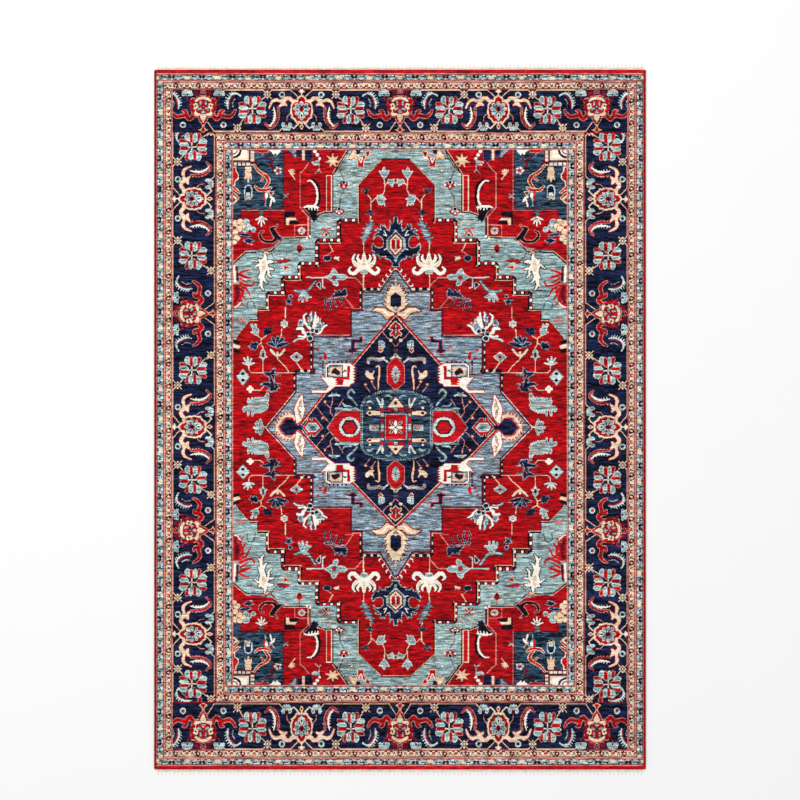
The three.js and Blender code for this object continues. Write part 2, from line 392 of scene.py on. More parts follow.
def main_border(length, stations):
    """A strip of the main border, its outer side up, with flowers at (kind, place along it)."""
    middle = BORDER_DRAWN // 2
    strip = Tile(-(length // 2), length - length // 2, -middle, BORDER_DRAWN - middle, NAVY)
    strip.cells[:BORDER_EDGE] = MAROON
    strip.cells[-BORDER_EDGE:] = MAROON
    flowers = {"wheel": wheel(), "aster": aster(), "palmette": palmette()}
    for (before, at_before), (kind, at), (after, at_after) in zip(stations, stations[1:], stations[2:]):
        if kind == "wheel":
            ends = {before: at_before, after: at_after}
            trellis(strip, at, ends["aster"], ends["palmette"])
    for wanted in ("palmette", "aster", "wheel"):
        for kind, at in stations:
            if kind == wanted:
                strip.stamp(flowers[kind], at, LIFT)
    return strip


# Guard borders ------------------------------------------------------------------------------


def repeated(unit, length, height):
    """A strip of one drawing side by side, as many times as fit best."""
    count = round(length / unit.cells.shape[1])
    strip = Tile(-(length // 2), length - length // 2, -(height // 2), height - height // 2)
    columns = (np.arange(length) * count * unit.cells.shape[1] // length) % unit.cells.shape[1]
    rows = np.arange(height) * unit.cells.shape[0] // height
    strip.cells[:] = unit.cells[np.ix_(rows, columns)]
    return strip


def blue_guard_unit():
    """Dark hearts, small cream flowers and squiggles on pale blue, between two pink lines."""
    unit = Tile(-77, 78, -20, 20, PALE)
    unit.area(mirrored([(0, -10), (14, -3), (18, 9), (12, 15), (6, 14), (3, 5), (0, 4)]), NAVY)
    for side in (-1, 1):
        unit.oval(10 * side, 10, 4, 5, MAROON)
        unit.stroke([(29 * side, -9, 3), (37 * side, -9, 4), (40 * side, 9, 3)], ICE)
        unit.stroke([(33 * side, 4, 3), (48 * side, 2, 3), (50 * side, 12, 3)], BLACK)
        unit.area([(77 * side, -11), (63 * side, -7), (66 * side, 6), (77 * side, 8)], CREAM)
        unit.oval(77 * side, 13, 6, 6, MAROON)
        unit.dot(68 * side, -1, 3, PEACH)
        unit.stroke([(57 * side, -12, 2), (56 * side, -4, 3)], GREEN)
        unit.oval(20 * side, -11, 7, 3, CRIMSON)
    unit.dot(0, -8, 5, CREAM)
    return ruled(unit)


def cream_guard_unit():
    """Dark and red scrolled flowers in turn on cream, with a pink vine and small leaves."""
    unit = Tile(-55, 55, -20, 20, CREAM)
    unit.stroke([(-55, 0, 2), (-40, 10, 2), (-27, 0, 2), (-14, -10, 2), (0, 0, 2), (14, 10, 2),
                 (27, 0, 2), (40, -10, 2), (55, 0, 2)], PINK)
    unit.stroke(arc(0, 0, 9, -70, 230, 4), MAROON)
    unit.stroke([(5, -10, 4), (15, -7, 3)], BLACK)
    unit.dot(0, 0, 4, PEACH)
    for side in (-1, 1):
        unit.dot(55 * side, 0, 9, RED)
        unit.dot(54 * side, 4, 3, CREAM)
        unit.stroke([(21 * side, 9, 2), (27 * side, -7, 3), (34 * side, 9, 2)], GREEN)
        unit.stroke([(38 * side, -11, 3), (46 * side, -12, 3)], MAROON)
        unit.dot(15 * side, 12, 3, MAROON)
    return ruled(unit)


def ruled(unit):
    """A guard's drawing with a pink line and a thin dark one along both of its sides."""
    middle = unit.cells.shape[0] // 2
    for line, start, end in ((MAROON, 13, 16), (PINK, 16, 20)):
        unit.cells[middle + start:middle + end] = line
        unit.cells[middle - end:middle - start] = line
    return unit


# Field --------------------------------------------------------------------------------------
# One quarter of the field, drawn from its middle: X outwards to the side, called U below, and
# Y outwards to the end, called V. The outlines are the CAD model's. What is cut off by the
# field's side or end has points at U 807 or V 1385.

HALF_WIDTH = 807
HALF_LENGTH = 1385
PAST = 9  # how far areas reach over the quarter's edges, so that their outlines stay outside it
FIELD_EDGE = [
    (66, 1340), (181, 1215), (181, 1025), (274, 1025), (274, 925), (381, 925), (381, 809),
    (469, 809), (469, 739), (551, 739), (551, 664), (626, 664), (626, 589), (685, 589),
    (685, 538), (721, 538), (779, 465), (HALF_WIDTH, 409),
]
PANEL_EDGE = [
    (HALF_WIDTH, 815), (745, 872), (618, 878), (555, 945), (432, 947), (432, 1040),
    (345, 1075), (312, 1075), (312, 1262), (235, HALF_LENGTH),
]
BLOCK_EDGE = [
    (HALF_WIDTH, 1041), (766, 1041), (766, 1088), (557, 1088), (557, HALF_LENGTH),
]
MEDALLION_EDGE = [
    (0, 788), (75, 681), (162, 681), (162, 590), (216, 590), (216, 457), (406, 457), (406, 273),
    (490, 273), (490, 182), (637, 0),
]
DIAMOND_EDGE = [(0, 567), (210, 318), (320, 212), (485, 0)]
CENTRE_EDGE = [(0, 183), (75, 180), (150, 145), (170, 110), (170, 0)]


def inside_of(edge):
    """The outline of what lies between an edge and the middle of the rug."""
    (first_u, first_v), (last_u, last_v) = edge[0], edge[-1]
    return [(-PAST, first_v), *edge, (last_u, -PAST), (-PAST, -PAST)]


# The pieces that the field is made of, from the end inwards, and each one's ground
REGION_PIECES = [
    "spandrel_{end}", "corner_panel_{end}_{side}", "corner_block_{end}_{side}",
    "field_ground_{end}_{side}", "medallion_ground_{end}_{side}", "medallion_diamond_{end}_{side}",
    "medallion_centre",
]
REGION_YARNS = [PALE, RED, TEAL, RED, SLATE, NAVY, TEAL]


def draw_regions():
    """One quarter of the field with the number of its region in every cell."""
    quarter = Tile(0, HALF_WIDTH, 0, HALF_LENGTH, 0)
    beyond_u, beyond_v = HALF_WIDTH + PAST, HALF_LENGTH + PAST
    quarter.area(PANEL_EDGE + [(235, beyond_v), (beyond_u, beyond_v), (beyond_u, 815)], 1)
    quarter.area(BLOCK_EDGE + [(557, beyond_v), (beyond_u, beyond_v), (beyond_u, 1041)], 2)
    sides = [(beyond_u, 409), (beyond_u, -PAST), (-PAST, -PAST)]
    quarter.area([(-PAST, 1340)] + FIELD_EDGE + sides, 3)
    for number, edge in enumerate((MEDALLION_EDGE, DIAMOND_EDGE, CENTRE_EDGE), start=4):
        quarter.area(inside_of(edge), number)
    return quarter


def draw_grounds(field):
    """Each region of the quarter in its ground colour."""
    field.cells[:] = np.array(REGION_YARNS, np.int8)[draw_regions().cells]


def shifted(points, distance_out):
    """A stepped edge moved along U and V, towards the side and the end where it is positive."""
    moved = []
    for (u, v), (next_u, next_v) in zip(points, points[1:]):
        across = math.copysign(distance_out, v - next_v) if v != next_v else 0
        along = distance_out if u != next_u else 0
        moved += [(u + across, v + along), (next_u + across, next_v + along)]
    return moved


SHORTEST_BEADED = 30  # a step of an edge that isn't longer than this has no beads


def beaded(field, points, out, beads, width=16, length=18):
    """A row of beads in two yarns along a stepped edge, between two dark lines."""
    place = shifted(points, out)
    field.line(place, BLACK, width + 7)
    walked = 0
    for (xa, ya), (xb, yb) in zip(place, place[1:]):
        run = math.dist((xa, ya), (xb, yb))
        count = max(1, round(run / length))
        for bead in range(count if run > SHORTEST_BEADED else 0):
            shares = [(bead + 0.15) / count, (bead + 0.85) / count]
            ends = [(xa + (xb - xa) * s, ya + (yb - ya) * s) for s in shares]
            field.area(bar(ends, width), beads[(bead + walked) % 2])
        walked += count


def bar(ends, width):
    """The corners of a bar of this width between two points."""
    (xa, ya), (xb, yb) = ends
    run = math.dist(*ends)
    nx, ny = (yb - ya) / run * width / 2, (xa - xb) / run * width / 2
    return [(xa + nx, ya + ny), (xb + nx, yb + ny), (xb - nx, yb - ny), (xa - nx, ya - ny)]


def draw_edges(field):
    """The outlined and beaded edges of the field, the medallion, the diamond and the centre."""
    beaded(field, FIELD_EDGE[2:13], 10, (CRIMSON, IVORY), 12)
    field.line(FIELD_EDGE, BLACK, 7)
    field.line([(0, 1340)] + FIELD_EDGE[:1], BLACK, 7)
    field.line(shifted(FIELD_EDGE, -5), PEACH, 3)
    field.line([(0, 1334), (64, 1334)], PEACH, 3)
    field.line(PANEL_EDGE, BLACK, 6)
    field.line([(u + 3, v + 5) for u, v in PANEL_EDGE], PEACH, 3)
    field.line(BLOCK_EDGE, MAROON, 6)
    field.line([(u - 4, v - 4) for u, v in BLOCK_EDGE[2:]], PINK, 3)
    beaded(field, MEDALLION_EDGE[1:4], 9, (CREAM, NAVY), 12)
    beaded(field, MEDALLION_EDGE[6:10], 9, (CREAM, NAVY), 12)
    field.line(shifted(MEDALLION_EDGE[3:7], 3), PINK, 5)
    field.line([(u + 3, v + 3) for u, v in MEDALLION_EDGE[:2]], ICE, 6)
    field.line([(u + 4, v + 3) for u, v in MEDALLION_EDGE[-2:]], ICE, 6)
    field.line(shifted(MEDALLION_EDGE, -5), MAROON, 8)
    field.line(DIAMOND_EDGE, CRIMSON, 12)
    field.line([(u - 4, v - 4) for u, v in DIAMOND_EDGE], CREAM, 3)
    for u, v in [(20, 776), (38, 752), (56, 727), (72, 704)]:
        field.stroke([(u, v, 3), (u + 9, v + 6, 3), (u + 8, v + 15, 1)], IVORY, MAROON, 2)


def draw_pendant(field):
    """The dark flower that hangs above the medallion, and the peach one below it."""
    tile = Tile(0, 130, -120, 140)
    crown = [(0, 135), (8, 135), (9, 104), (20, 100), (30, 120), (27, 98), (29, 78), (31, 63), (42, 70),
             (52, 85), (57, 98), (63, 86), (72, 97), (76, 88), (72, 68), (90, 76), (103, 66), (92, 66),
             (80, 58), (96, 52), (108, 38), (110, 22), (100, 36), (88, 40), (72, 36), (62, 20), (60, 0)]
    foot = [(64, -14), (76, -22), (96, -18), (108, -4), (113, 2), (118, -12), (116, -32), (104, -42),
            (108, -62), (98, -54), (84, -52), (78, -78), (70, -64), (48, -62), (52, -76), (30, -78),
            (20, -92), (14, -98), (18, -114), (0, -114)]
    tile.area(mirrored(crown + foot), NAVY, PALE, 4)
    tile.area(mirrored([(0, 72), (20, 44), (47, 22), (48, -22), (30, -46), (10, -66), (5, -92),
                        (0, -95)]), PALE)
    tile.area(mirrored([(0, 60), (36, 22), (36, -27), (0, -66)]), MAROON)
    tile.area(mirrored([(0, 48), (28, 18), (28, -25), (0, -56)]), CREAM)
    tile.area(mirrored([(0, 38), (21, 17), (21, -20), (0, -44)]), RED)
    tile.line([(0, 24), (0, -30)], ICE, 7)
    tile.line([(-10, 22), (10, 22)], ICE, 5)
    tile.line([(-10, -28), (10, -28)], ICE, 5)
    tile.line([(44, 40), (57, 65)], IVORY)
    tile.line([(44, 40), (62, 46)], IVORY)
    tile.line([(44, -24), (58, -30)], IVORY)
    field.stamp(tile, 0, 917)

    tile = Tile(0, 135, -105, 110)
    wing = [(0, -58), (30, -58), (46, -44), (58, -36), (95, -35), (125, -58), (85, -62), (70, -70),
            (48, -98), (38, -98), (28, -90), (0, -66)]
    tile.area(mirrored(wing), PEACH, MAROON, 5)
    tile.stroke([(12, -74, 3), (40, -74, 4), (58, -56, 4), (72, -49, 4), (95, -49, 3)], IVORY)
    body = [(0, 76), (10, 74), (18, 84), (22, 78), (22, 64), (34, 74), (38, 70), (28, 56), (44, 56),
            (30, 46), (44, 44), (46, 38), (40, 28), (58, 36), (62, 32), (46, 18), (44, 6), (62, 10),
            (66, 6), (52, -4), (46, -14), (62, -14), (64, -20), (48, -30), (42, -42), (20, -56),
            (0, -66)]
    tile.area(mirrored(body), CREAM, MAROON, 4)
    tile.area(mirrored([(0, 46), (33, 22), (34, -34), (14, -46), (0, -38)]), PEACH)
    tile.area(mirrored([(0, 38), (26, 18), (27, -30), (10, -38), (0, -30)]), NAVY)
    tile.area([(-14, -42), (14, -42), (0, -56)], PALE, MAROON, 3)
    tile.line([(0, 76), (0, 108)], CREAM, 7)
    tile.dot(0, 96, 7, PEACH, MAROON, 3)
    field.stamp(tile, 0, 637)


def draw_end_vine(field):
    """The leaves and small flowers between the end of the field and the lily."""
    field.line([(57, 1245), (55, 1205), (54, 1185), (66, 1158)], CREAM)
    field.line([(55, 1205), (38, 1225)], CREAM)
    field.area([(57, 1298), (50, 1285), (48, 1278), (32, 1283), (33, 1275), (45, 1255), (57, 1240),
                (68, 1255), (80, 1278), (66, 1278), (64, 1290)], PALE, ICE, 4)
    field.area([(40, 1230), (35, 1238), (20, 1235), (5, 1240), (12, 1228), (2, 1222), (14, 1215),
                (15, 1202), (28, 1215), (38, 1217)], PALE, ICE, 4)
    field.line([(98, 1146), (122, 1122), (122, 1085)], CREAM)
    field.line([(138, 1160), (122, 1140), (122, 1122)], CREAM)
    field.line([(122, 1062), (126, 1036)], CREAM)
    field.area([(95, 1145), (90, 1158), (70, 1160), (60, 1150), (48, 1140), (60, 1135), (57, 1125),
                (53, 1105), (62, 1120), (72, 1108), (75, 1125), (83, 1112), (88, 1130)], PALE, ICE, 4)
    for x, y, turn in [(150, 1172, 1), (126, 1080, 3)]:
        for lobe in (-1, 0, 1):
            angle = math.pi / 2 * turn + 0.9 * lobe
            field.stroke([(x, y, 6), (x + 20 * math.cos(angle), y + 20 * math.sin(angle), 3)],
                         NAVY, GREEN, 2)
    leaf = [(162, 918, 2), (155, 940, 7), (147, 962, 10), (138, 984, 10), (128, 1006, 8), (115, 1040, 2)]
    teeth = [[(x, y, 5), (x + reach, y + 10, 1)] for x, y, _ in leaf[1:-1] for reach in (-23, 20)]
    field.joined([leaf, *teeth], SLATE, GREEN)
    field.line([(160, 920), (157, 870)], CREAM)


def star(field, x, y, radius, yarn, points=5, edge=None):
    """A leaf of pointed lobes."""
    outline = []
    hollow = radius * 0.42
    for i in range(points * 2):
        reach = radius if i % 2 == 0 else hollow
        angle = math.pi / 2 + math.pi * i / points
        outline.append((x + reach * math.cos(angle), y + reach * math.sin(angle)))
    field.area(outline, yarn, edge, 3)


def draw_lily(field):
    """The cream lily: a stem with three pairs of arms, ending in two scrolls."""
    tile = Tile(0, 85, -65, 62)
    tile.joined([
        [(0, 58, 2), (0, 44, 8), (0, 28, 11), (0, 5, 17), (0, -20, 17)],
        [(14, -12, 11), (36, -4, 11), (50, 12, 8), (54, 32, 6), (46, 48, 3)],
        [(10, 6, 9), (25, 16, 8), (32, 32, 6), (28, 46, 3)],
        [(18, -18, 11), (34, -34, 10), (50, -46, 9), (68, -42, 8), (74, -26, 6), (64, -16, 4)],
    ], IVORY, BLACK, 3)
    tile.stroke([(30, -12, 4), (46, 4, 4), (50, 24, 3)], CREAM)
    tile.stroke([(0, 40, 4), (0, 0, 8)], CREAM)
    tile.area(mirrored([(0, -26), (9, -30), (18, -36), (14, -48), (0, -46)]), PALE, ICE, 3)
    tile.line([(0, -50), (0, -65)], CREAM, 5)
    field.stamp(tile.opened(), 157, 815)
    field.line([(160, 765), (160, 690)], CREAM)
    field.line([(330, 747), (200, 747), (162, 708)], PINK, 5)


def draw_fish_and_scorpion(field):
    """A pale leaf and a dark scorpion-like leaf beside the medallion's first steps."""
    field.line([(350, 749), (362, 745), (362, 700), (350, 696)], ICE, 6)
    field.line([(362, 747), (440, 749)], ICE, 6)
    field.area([(240, 752), (255, 762), (285, 762), (290, 772), (300, 787), (310, 792), (318, 780),
                (320, 770), (335, 758), (352, 750), (335, 742), (325, 735), (312, 728), (308, 712),
                (290, 706), (285, 718), (295, 736), (255, 738)], PALE, ICE, 4)
    field.dot(305, 748, 9, CRIMSON, TEAL, 3)
    field.area([(395, 712), (380, 725), (372, 720), (372, 690)], NAVY, ICE, 3)
    field.stroke([(398, 730, 3), (428, 692, 5), (446, 680, 6), (470, 678, 6), (500, 684, 4)], PALE, TEAL)
    for x, y in [(480, 635), (462, 630), (440, 632), (422, 650)]:
        field.stroke([(455, 678, 6), (0.4 * 455 + 0.6 * x, 655, 5), (x, y, 3)], PALE, ICE, 2)
    body = [(355, 635), (345, 645), (335, 640), (318, 652), (300, 674), (302, 688), (290, 676),
            (278, 690), (270, 676), (255, 694), (246, 690), (240, 662), (255, 646), (300, 646),
            (325, 630)]
    field.area(body, NAVY, SLATE, 4)
    for leg in ([(310, 640), (300, 618), (293, 606)], [(278, 646), (270, 620), (258, 614)],
                [(345, 632), (352, 602), (344, 584)], [(325, 630), (318, 602), (325, 586)]):
        field.line(leg, SLATE, 9)
        field.line(leg, NAVY, 6)
    field.line([(325, 640), (300, 650), (255, 655), (212, 600)], PINK)


def draw_scattered_flowers(field):
    """The small flowers of the field's wide middle."""
    field.line([(547, 600), (547, 545)], CREAM)
    field.line([(565, 492), (570, 440)], CREAM)
    field.petals(552, 517, 6, 13, 7, ICE, 30)
    field.dot(552, 517, 5, PEACH, MAROON, 2)
    star(field, 530, 628, 22, NAVY, 5, SLATE)
    field.dot(522, 655, 7, NAVY, SLATE, 3)
    field.line([(690, 462), (668, 445), (668, 415), (655, 395)], CREAM)
    field.line([(668, 420), (695, 405)], CREAM)
    field.area([(720, 515), (710, 518), (708, 500), (695, 517), (690, 510), (692, 498), (680, 490),
                (682, 470), (690, 458), (705, 468), (720, 475), (708, 480), (712, 495)], PALE, ICE, 4)
    field.area([(655, 482), (650, 492), (640, 502), (632, 492), (620, 497), (608, 505), (618, 485),
                (608, 478), (630, 468), (640, 453), (654, 463)], NAVY, TEAL, 3)
    field.line([(642, 458), (668, 440)], CREAM)
    field.area([(732, 405), (718, 412), (715, 430), (705, 420), (690, 430), (683, 412), (688, 395),
                (700, 385), (708, 395), (718, 385), (722, 398)], NAVY, SLATE, 3)
    draw_tulip(field)
    for step in range(3):
        v = 376 + 22 * step
        field.area([(807, v), (807, v + 22), (770, v + 8), (778, v - 6)], (BLACK, CREAM)[step % 2])
    field.line([(658, 337), (658, 275)], CREAM)
    field.area([(658, 392), (646, 376), (648, 360), (638, 352), (652, 348), (658, 333), (664, 348),
                (678, 352), (668, 362), (670, 376)], PALE, ICE, 4)
    field.oval(658, 362, 6, 13, MAROON)
    field.line([(730, 312), (728, 285), (715, 272), (500, 272)], CREAM)
    for tip_x, tip_y in [(757, 322), (752, 344), (735, 352), (716, 342), (703, 322)]:
        field.stroke([(730, 312, 5), (tip_x, tip_y, 4)], ICE)
    field.area([(757, 290), (726, 252), (757, 212), (789, 252)], ICE, PALE, 4)
    field.oval(757, 268, 9, 8, NAVY)
    field.oval(757, 236, 9, 8, NAVY)
    for x, y in [(712, 192), (732, 192), (722, 202), (722, 181)]:
        field.dot(x, y, 8, IVORY)
    field.line([(706, 187), (670, 187), (655, 203)], CREAM)
    field.area([(492, 375), (462, 352), (492, 325), (522, 352)], PALE, ICE, 4)
    field.area([(492, 362), (480, 352), (492, 340), (504, 352)], MAROON, PINK, 3)
    field.line([(492, 325), (455, 272)], CREAM)
    field.oval(340, 845, 17, 13, NAVY, SLATE, 3)
    field.area([(312, 842), (300, 856), (285, 852), (276, 862), (280, 842), (276, 828), (292, 834)],
               CREAM, MAROON, 3)
    field.line([(310, 878), (322, 900), (332, 922)], CREAM)
    field.line([(340, 858), (318, 878)], PINK)
    draw_feather_leaf(field)


def draw_tulip(field):
    """A dark flower of seven leaves over a cream chevron."""
    for tip_x, tip_y, radius in [(634, 420, 3), (612, 446, 4), (585, 452, 4), (558, 444, 4), (536, 420, 3)]:
        bend = ((586 + tip_x) / 2, (410 + tip_y) / 2, 9)
        field.stroke([(586, 404, 7), bend, (tip_x, tip_y, radius)], NAVY, SLATE, 3)
    for side in (-1, 1):
        field.stroke([(586, 350, 4), (586 + 20 * side, 370, 6), (586 + 34 * side, 388, 5)],
                     CREAM, MAROON, 3)
    field.stroke([(586, 345, 4), (586, 375, 5)], CREAM)
    field.line([(588, 345), (545, 300), (528, 272)], CREAM)


def draw_feather_leaf(field):
    """The big grey leaf at the side of the medallion, and the dark dancing leaf above it."""
    blade = [[(636, 166, 5), (644, 140, 12), (660, 128, 18), (700, 120, 17), (724, 122, 9)],
             [(642, 112, 10), (660, 104, 10), (700, 98, 10), (745, 96, 8), (752, 84, 4)]]
    for x in [731, 713, 697, 686, 676, 666]:
        blade.append([(x - 4, 128, 7), (x, 192 - 0.065 * x, 2)])
    for x, tip in [(733, 62), (711, 60), (698, 74), (685, 76), (672, 76), (661, 82), (650, 88)]:
        blade.append([(x - 6, 98, 7), (x, tip, 2)])
    field.joined(blade, PALE, ICE, 3)
    field.line([(640, 150), (662, 118), (704, 106), (722, 96)], PINK, 4)
    dancer = [(600, 300), (615, 285), (620, 276), (660, 276), (650, 264), (633, 255), (622, 245),
              (628, 230), (620, 224), (652, 226), (670, 215), (655, 210), (635, 205), (622, 200),
              (628, 190), (642, 185), (625, 183), (615, 176), (605, 184), (592, 180), (588, 194),
              (576, 197), (590, 214), (570, 218), (600, 224), (603, 245), (602, 260), (575, 257),
              (568, 265), (602, 270), (600, 280)]
    field.area(dancer, NAVY, SLATE, 4)
    field.line([(620, 262), (608, 240), (605, 225), (598, 200)], PINK, 3)
    field.line([(608, 262), (580, 265)], PINK, 3)


def draw_side_palmette(field):
    """The pale flower between the medallion's tip and the side of the field."""
    field.joined([[(644, 0, 3), (700, 0, 5)], [(660, 2, 4), (672, 36, 5)],
                  [(684, 2, 5), (688, 22, 8)]], PALE, ICE, 2)
    field.oval(686, 19, 5, 7, SLATE)


def draw_white_flower(field):
    """The big white flower of many petals at the medallion's shoulder, drawn mirrored."""
    tile = Tile(-100, 90, -80, 90)
    tile.stroke([(-24, 68, 3), (-36, 56, 4), (-34, 38, 5), (-30, 22, 6), (-16, 8, 7), (-6, -4, 6)],
                IVORY, TEAL, 3)
    tile.area([(-55, 36), (-64, 20), (-60, 0), (-45, 3), (-38, 20), (-45, 35)], SLATE, ICE, 4)
    tile.stroke([(-12, 50, 4), (-10, 32, 6), (-8, 12, 5)], PALE, TEAL, 3)
    tile.stroke([(3, 76, 3), (-2, 62, 5), (3, 48, 5), (0, 34, 5)], ICE, TEAL, 3)
    tile.stroke([(22, 72, 4), (22, 54, 5), (20, 36, 8), (18, 14, 9), (14, 0, 7)], IVORY, TEAL, 3)
    tile.stroke([(34, 50, 4), (34, 36, 6), (26, 24, 8)], IVORY)
    tile.area([(48, 20), (56, 12), (52, 0), (45, -10), (30, -8), (25, 5), (28, 18), (36, 24)],
              SLATE, ICE, 3)
    tile.stroke([(46, 40, 3), (46, 22, 5)], ICE)
    tile.dot(63, 20, 5, ICE)
    tile.stroke([(78, 11, 4), (64, 3, 5), (55, -10, 5), (48, -24, 4), (36, -34, 4)], IVORY, TEAL, 3)
    for x, y, radius in [(8, -15, 9), (28, -20, 10), (-12, -35, 10), (-5, -56, 12)]:
        tile.dot(x, y, radius, NAVY, ICE, 4)
    tile.stroke([(-68, -8, 6), (-45, -6, 8), (-38, -24, 8), (-28, -30, 6)], IVORY, TEAL, 3)
    tile.stroke([(-58, -45, 6), (-40, -50, 7), (-25, -42, 6)], IVORY)
    tile.stroke([(-84, -69, 4), (-64, -58, 4), (-40, -58, 4)], ICE, TEAL, 3)
    tile.cells = tile.cells[:, ::-1]
    tile.left = -90
    field.stamp(tile, 420, 500)


def draw_lizard(field):
    """The white leaf of the pale ground, with curled arms like a lizard's."""
    field.joined([
        [(648, 866, 5), (647, 845, 8), (655, 826, 17), (657, 800, 21), (658, 778, 14), (662, 758, 12),
         (666, 738, 9), (668, 716, 7), (664, 700, 5), (654, 686, 2)],
        [(670, 814, 8), (686, 808, 5), (704, 792, 2)],
        [(642, 822, 10), (624, 828, 9), (610, 826, 5)],
        [(640, 802, 9), (630, 792, 6), (616, 792, 5), (606, 788, 3)],
        [(636, 794, 6), (630, 778, 5), (630, 762, 5), (618, 749, 3)],
        [(670, 828, 9), (680, 838, 3)],
        [(668, 764, 8), (675, 750, 5), (682, 742, 2)],
        [(656, 744, 7), (646, 729, 4), (636, 722, 2)],
        [(671, 714, 5), (684, 701, 2)],
    ], IVORY, BLACK, 4)
    field.stroke([(656, 830, 5), (654, 806, 10), (658, 780, 5)], CREAM)
    field.stroke([(632, 868, 4), (642, 876, 4), (655, 868, 3)], CREAM, MAROON, 3)


def draw_flames(field):
    """The red flames that come into the pale ground from the side."""
    field.area([(807, 715), (760, 714), (746, 700), (753, 690), (748, 680), (763, 640), (763, 620),
                (788, 598), (807, 588)], CRIMSON, PINK, 2)
    field.stroke([(790, 700, 8), (785, 660, 10), (795, 625, 6)], MAROON)
    for flame in (
        [(778, 768, 5), (755, 778, 5), (728, 784, 2)], [(774, 762, 6), (748, 752, 7), (718, 744, 2)],
        [(770, 742, 5), (750, 730, 4), (732, 720, 2)],
        [(772, 722, 6), (745, 710, 6), (715, 706, 5), (703, 718, 4), (704, 733, 2)],
        [(762, 700, 6), (742, 692, 5), (730, 672, 4), (720, 655, 2)],
        [(762, 676, 6), (756, 655, 5), (744, 638, 3)], [(780, 628, 6), (765, 618, 4), (750, 611, 2)],
    ):
        field.stroke(flame, CRIMSON, PINK, 1)
    field.stroke([(802, 805, 5), (797, 728, 5)], IVORY)
    field.stroke([(788, 800, 5), (784, 735, 7)], MAROON)
    field.stroke([(770, 622, 3), (786, 606, 3), (800, 600, 3)], IVORY)
    field.stroke([(735, 595, 3), (738, 618, 3), (722, 630, 3), (706, 626, 3), (697, 595, 3)], GREEN)
    field.stroke([(785, 528, 4), (776, 542, 4), (768, 530, 4), (758, 542, 4), (752, 528, 4)],
                 PINK, RED, 2)


def eye_flower(field, x, y, reach):
    """A small red flower round a dark eye, with white dots beside and below it."""
    tile = Tile(-34, 34, -34, 34)
    tile.area(mirrored([(0, -26), (14, -16), (28, -8), (20, 4), (8, 14), (0, 22)]), CRIMSON, MAROON, 3)
    tile.dot(0, 7, 8, BLACK, ICE, 3)
    for side in (-1, 1):
        tile.dot(reach * side, -5, 5, IVORY, MAROON, 2)
    tile.dot(0, -14, 5, IVORY)
    field.stamp(tile, x, y)


def draw_spandrel_flowers(field):
    """The small flowers of the pale ground."""
    field.line([(617, 872), (605, 850), (585, 828)], MAROON)
    field.area([(588, 825), (575, 840), (560, 834), (550, 844), (540, 838), (516, 836), (540, 824),
                (560, 826), (572, 816)], CRIMSON, MAROON, 3)
    field.area([(565, 812), (556, 800), (552, 776), (542, 792), (518, 800), (540, 806)],
               CRIMSON, CREAM, 3)
    field.line([(477, 945), (477, 915)], MAROON)
    field.area([(477, 916), (492, 902), (492, 888), (477, 866), (462, 888), (462, 902)], RED, PINK, 3)
    field.area([(464, 888), (490, 888), (477, 868)], BLACK)
    field.line([(260, 1240), (268, 1262), (276, 1282), (278, 1302)], MAROON)
    field.line([(257, 1205), (256, 1178), (275, 1150), (277, 1095)], MAROON)
    eye_flower(field, 257, 1216, 24)
    eye_flower(field, 280, 1084, 12)
    field.dot(218, 1281, 5, IVORY, MAROON, 2)
    for side in (-1, 1):
        field.stroke([(345, 982, 4), (345 + 13 * side, 970, 4), (345 + 18 * side, 958, 3)],
                     CRIMSON, CREAM, 2)
        field.stroke([(345, 982, 4), (345 + 10 * side, 994, 3), (345 + 22 * side, 992, 3)], CRIMSON)
    field.dot(344, 962, 6, BLACK)
    field.line([(330, 1048), (305, 1012)], PEACH)
    field.line([(378, 1038), (338, 1010)], PEACH)
    field.line([(235, 1380), (245, 1350), (270, 1310), (312, 1262)], MAROON)
    field.area([(213, 1385), (236, 1345), (222, 1333), (208, 1345), (195, 1334), (188, 1350),
                (198, 1385)], PEACH, MAROON, 3)
    field.dot(210, 1366, 6, IVORY)
    field.area([(196, 1385), (173, 1385), (178, 1366), (194, 1364)], NAVY)
    field.area([(196, 1362), (190, 1335), (188, 1300), (157, 1300), (158, 1330), (148, 1350),
                (155, 1362), (172, 1340)], CRIMSON, CREAM, 3)
    field.line([(164, 1345), (173, 1322), (184, 1345)], IVORY, 5)
    field.area([(152, 1374), (126, 1382), (129, 1363), (141, 1346)], RED, CREAM, 3)


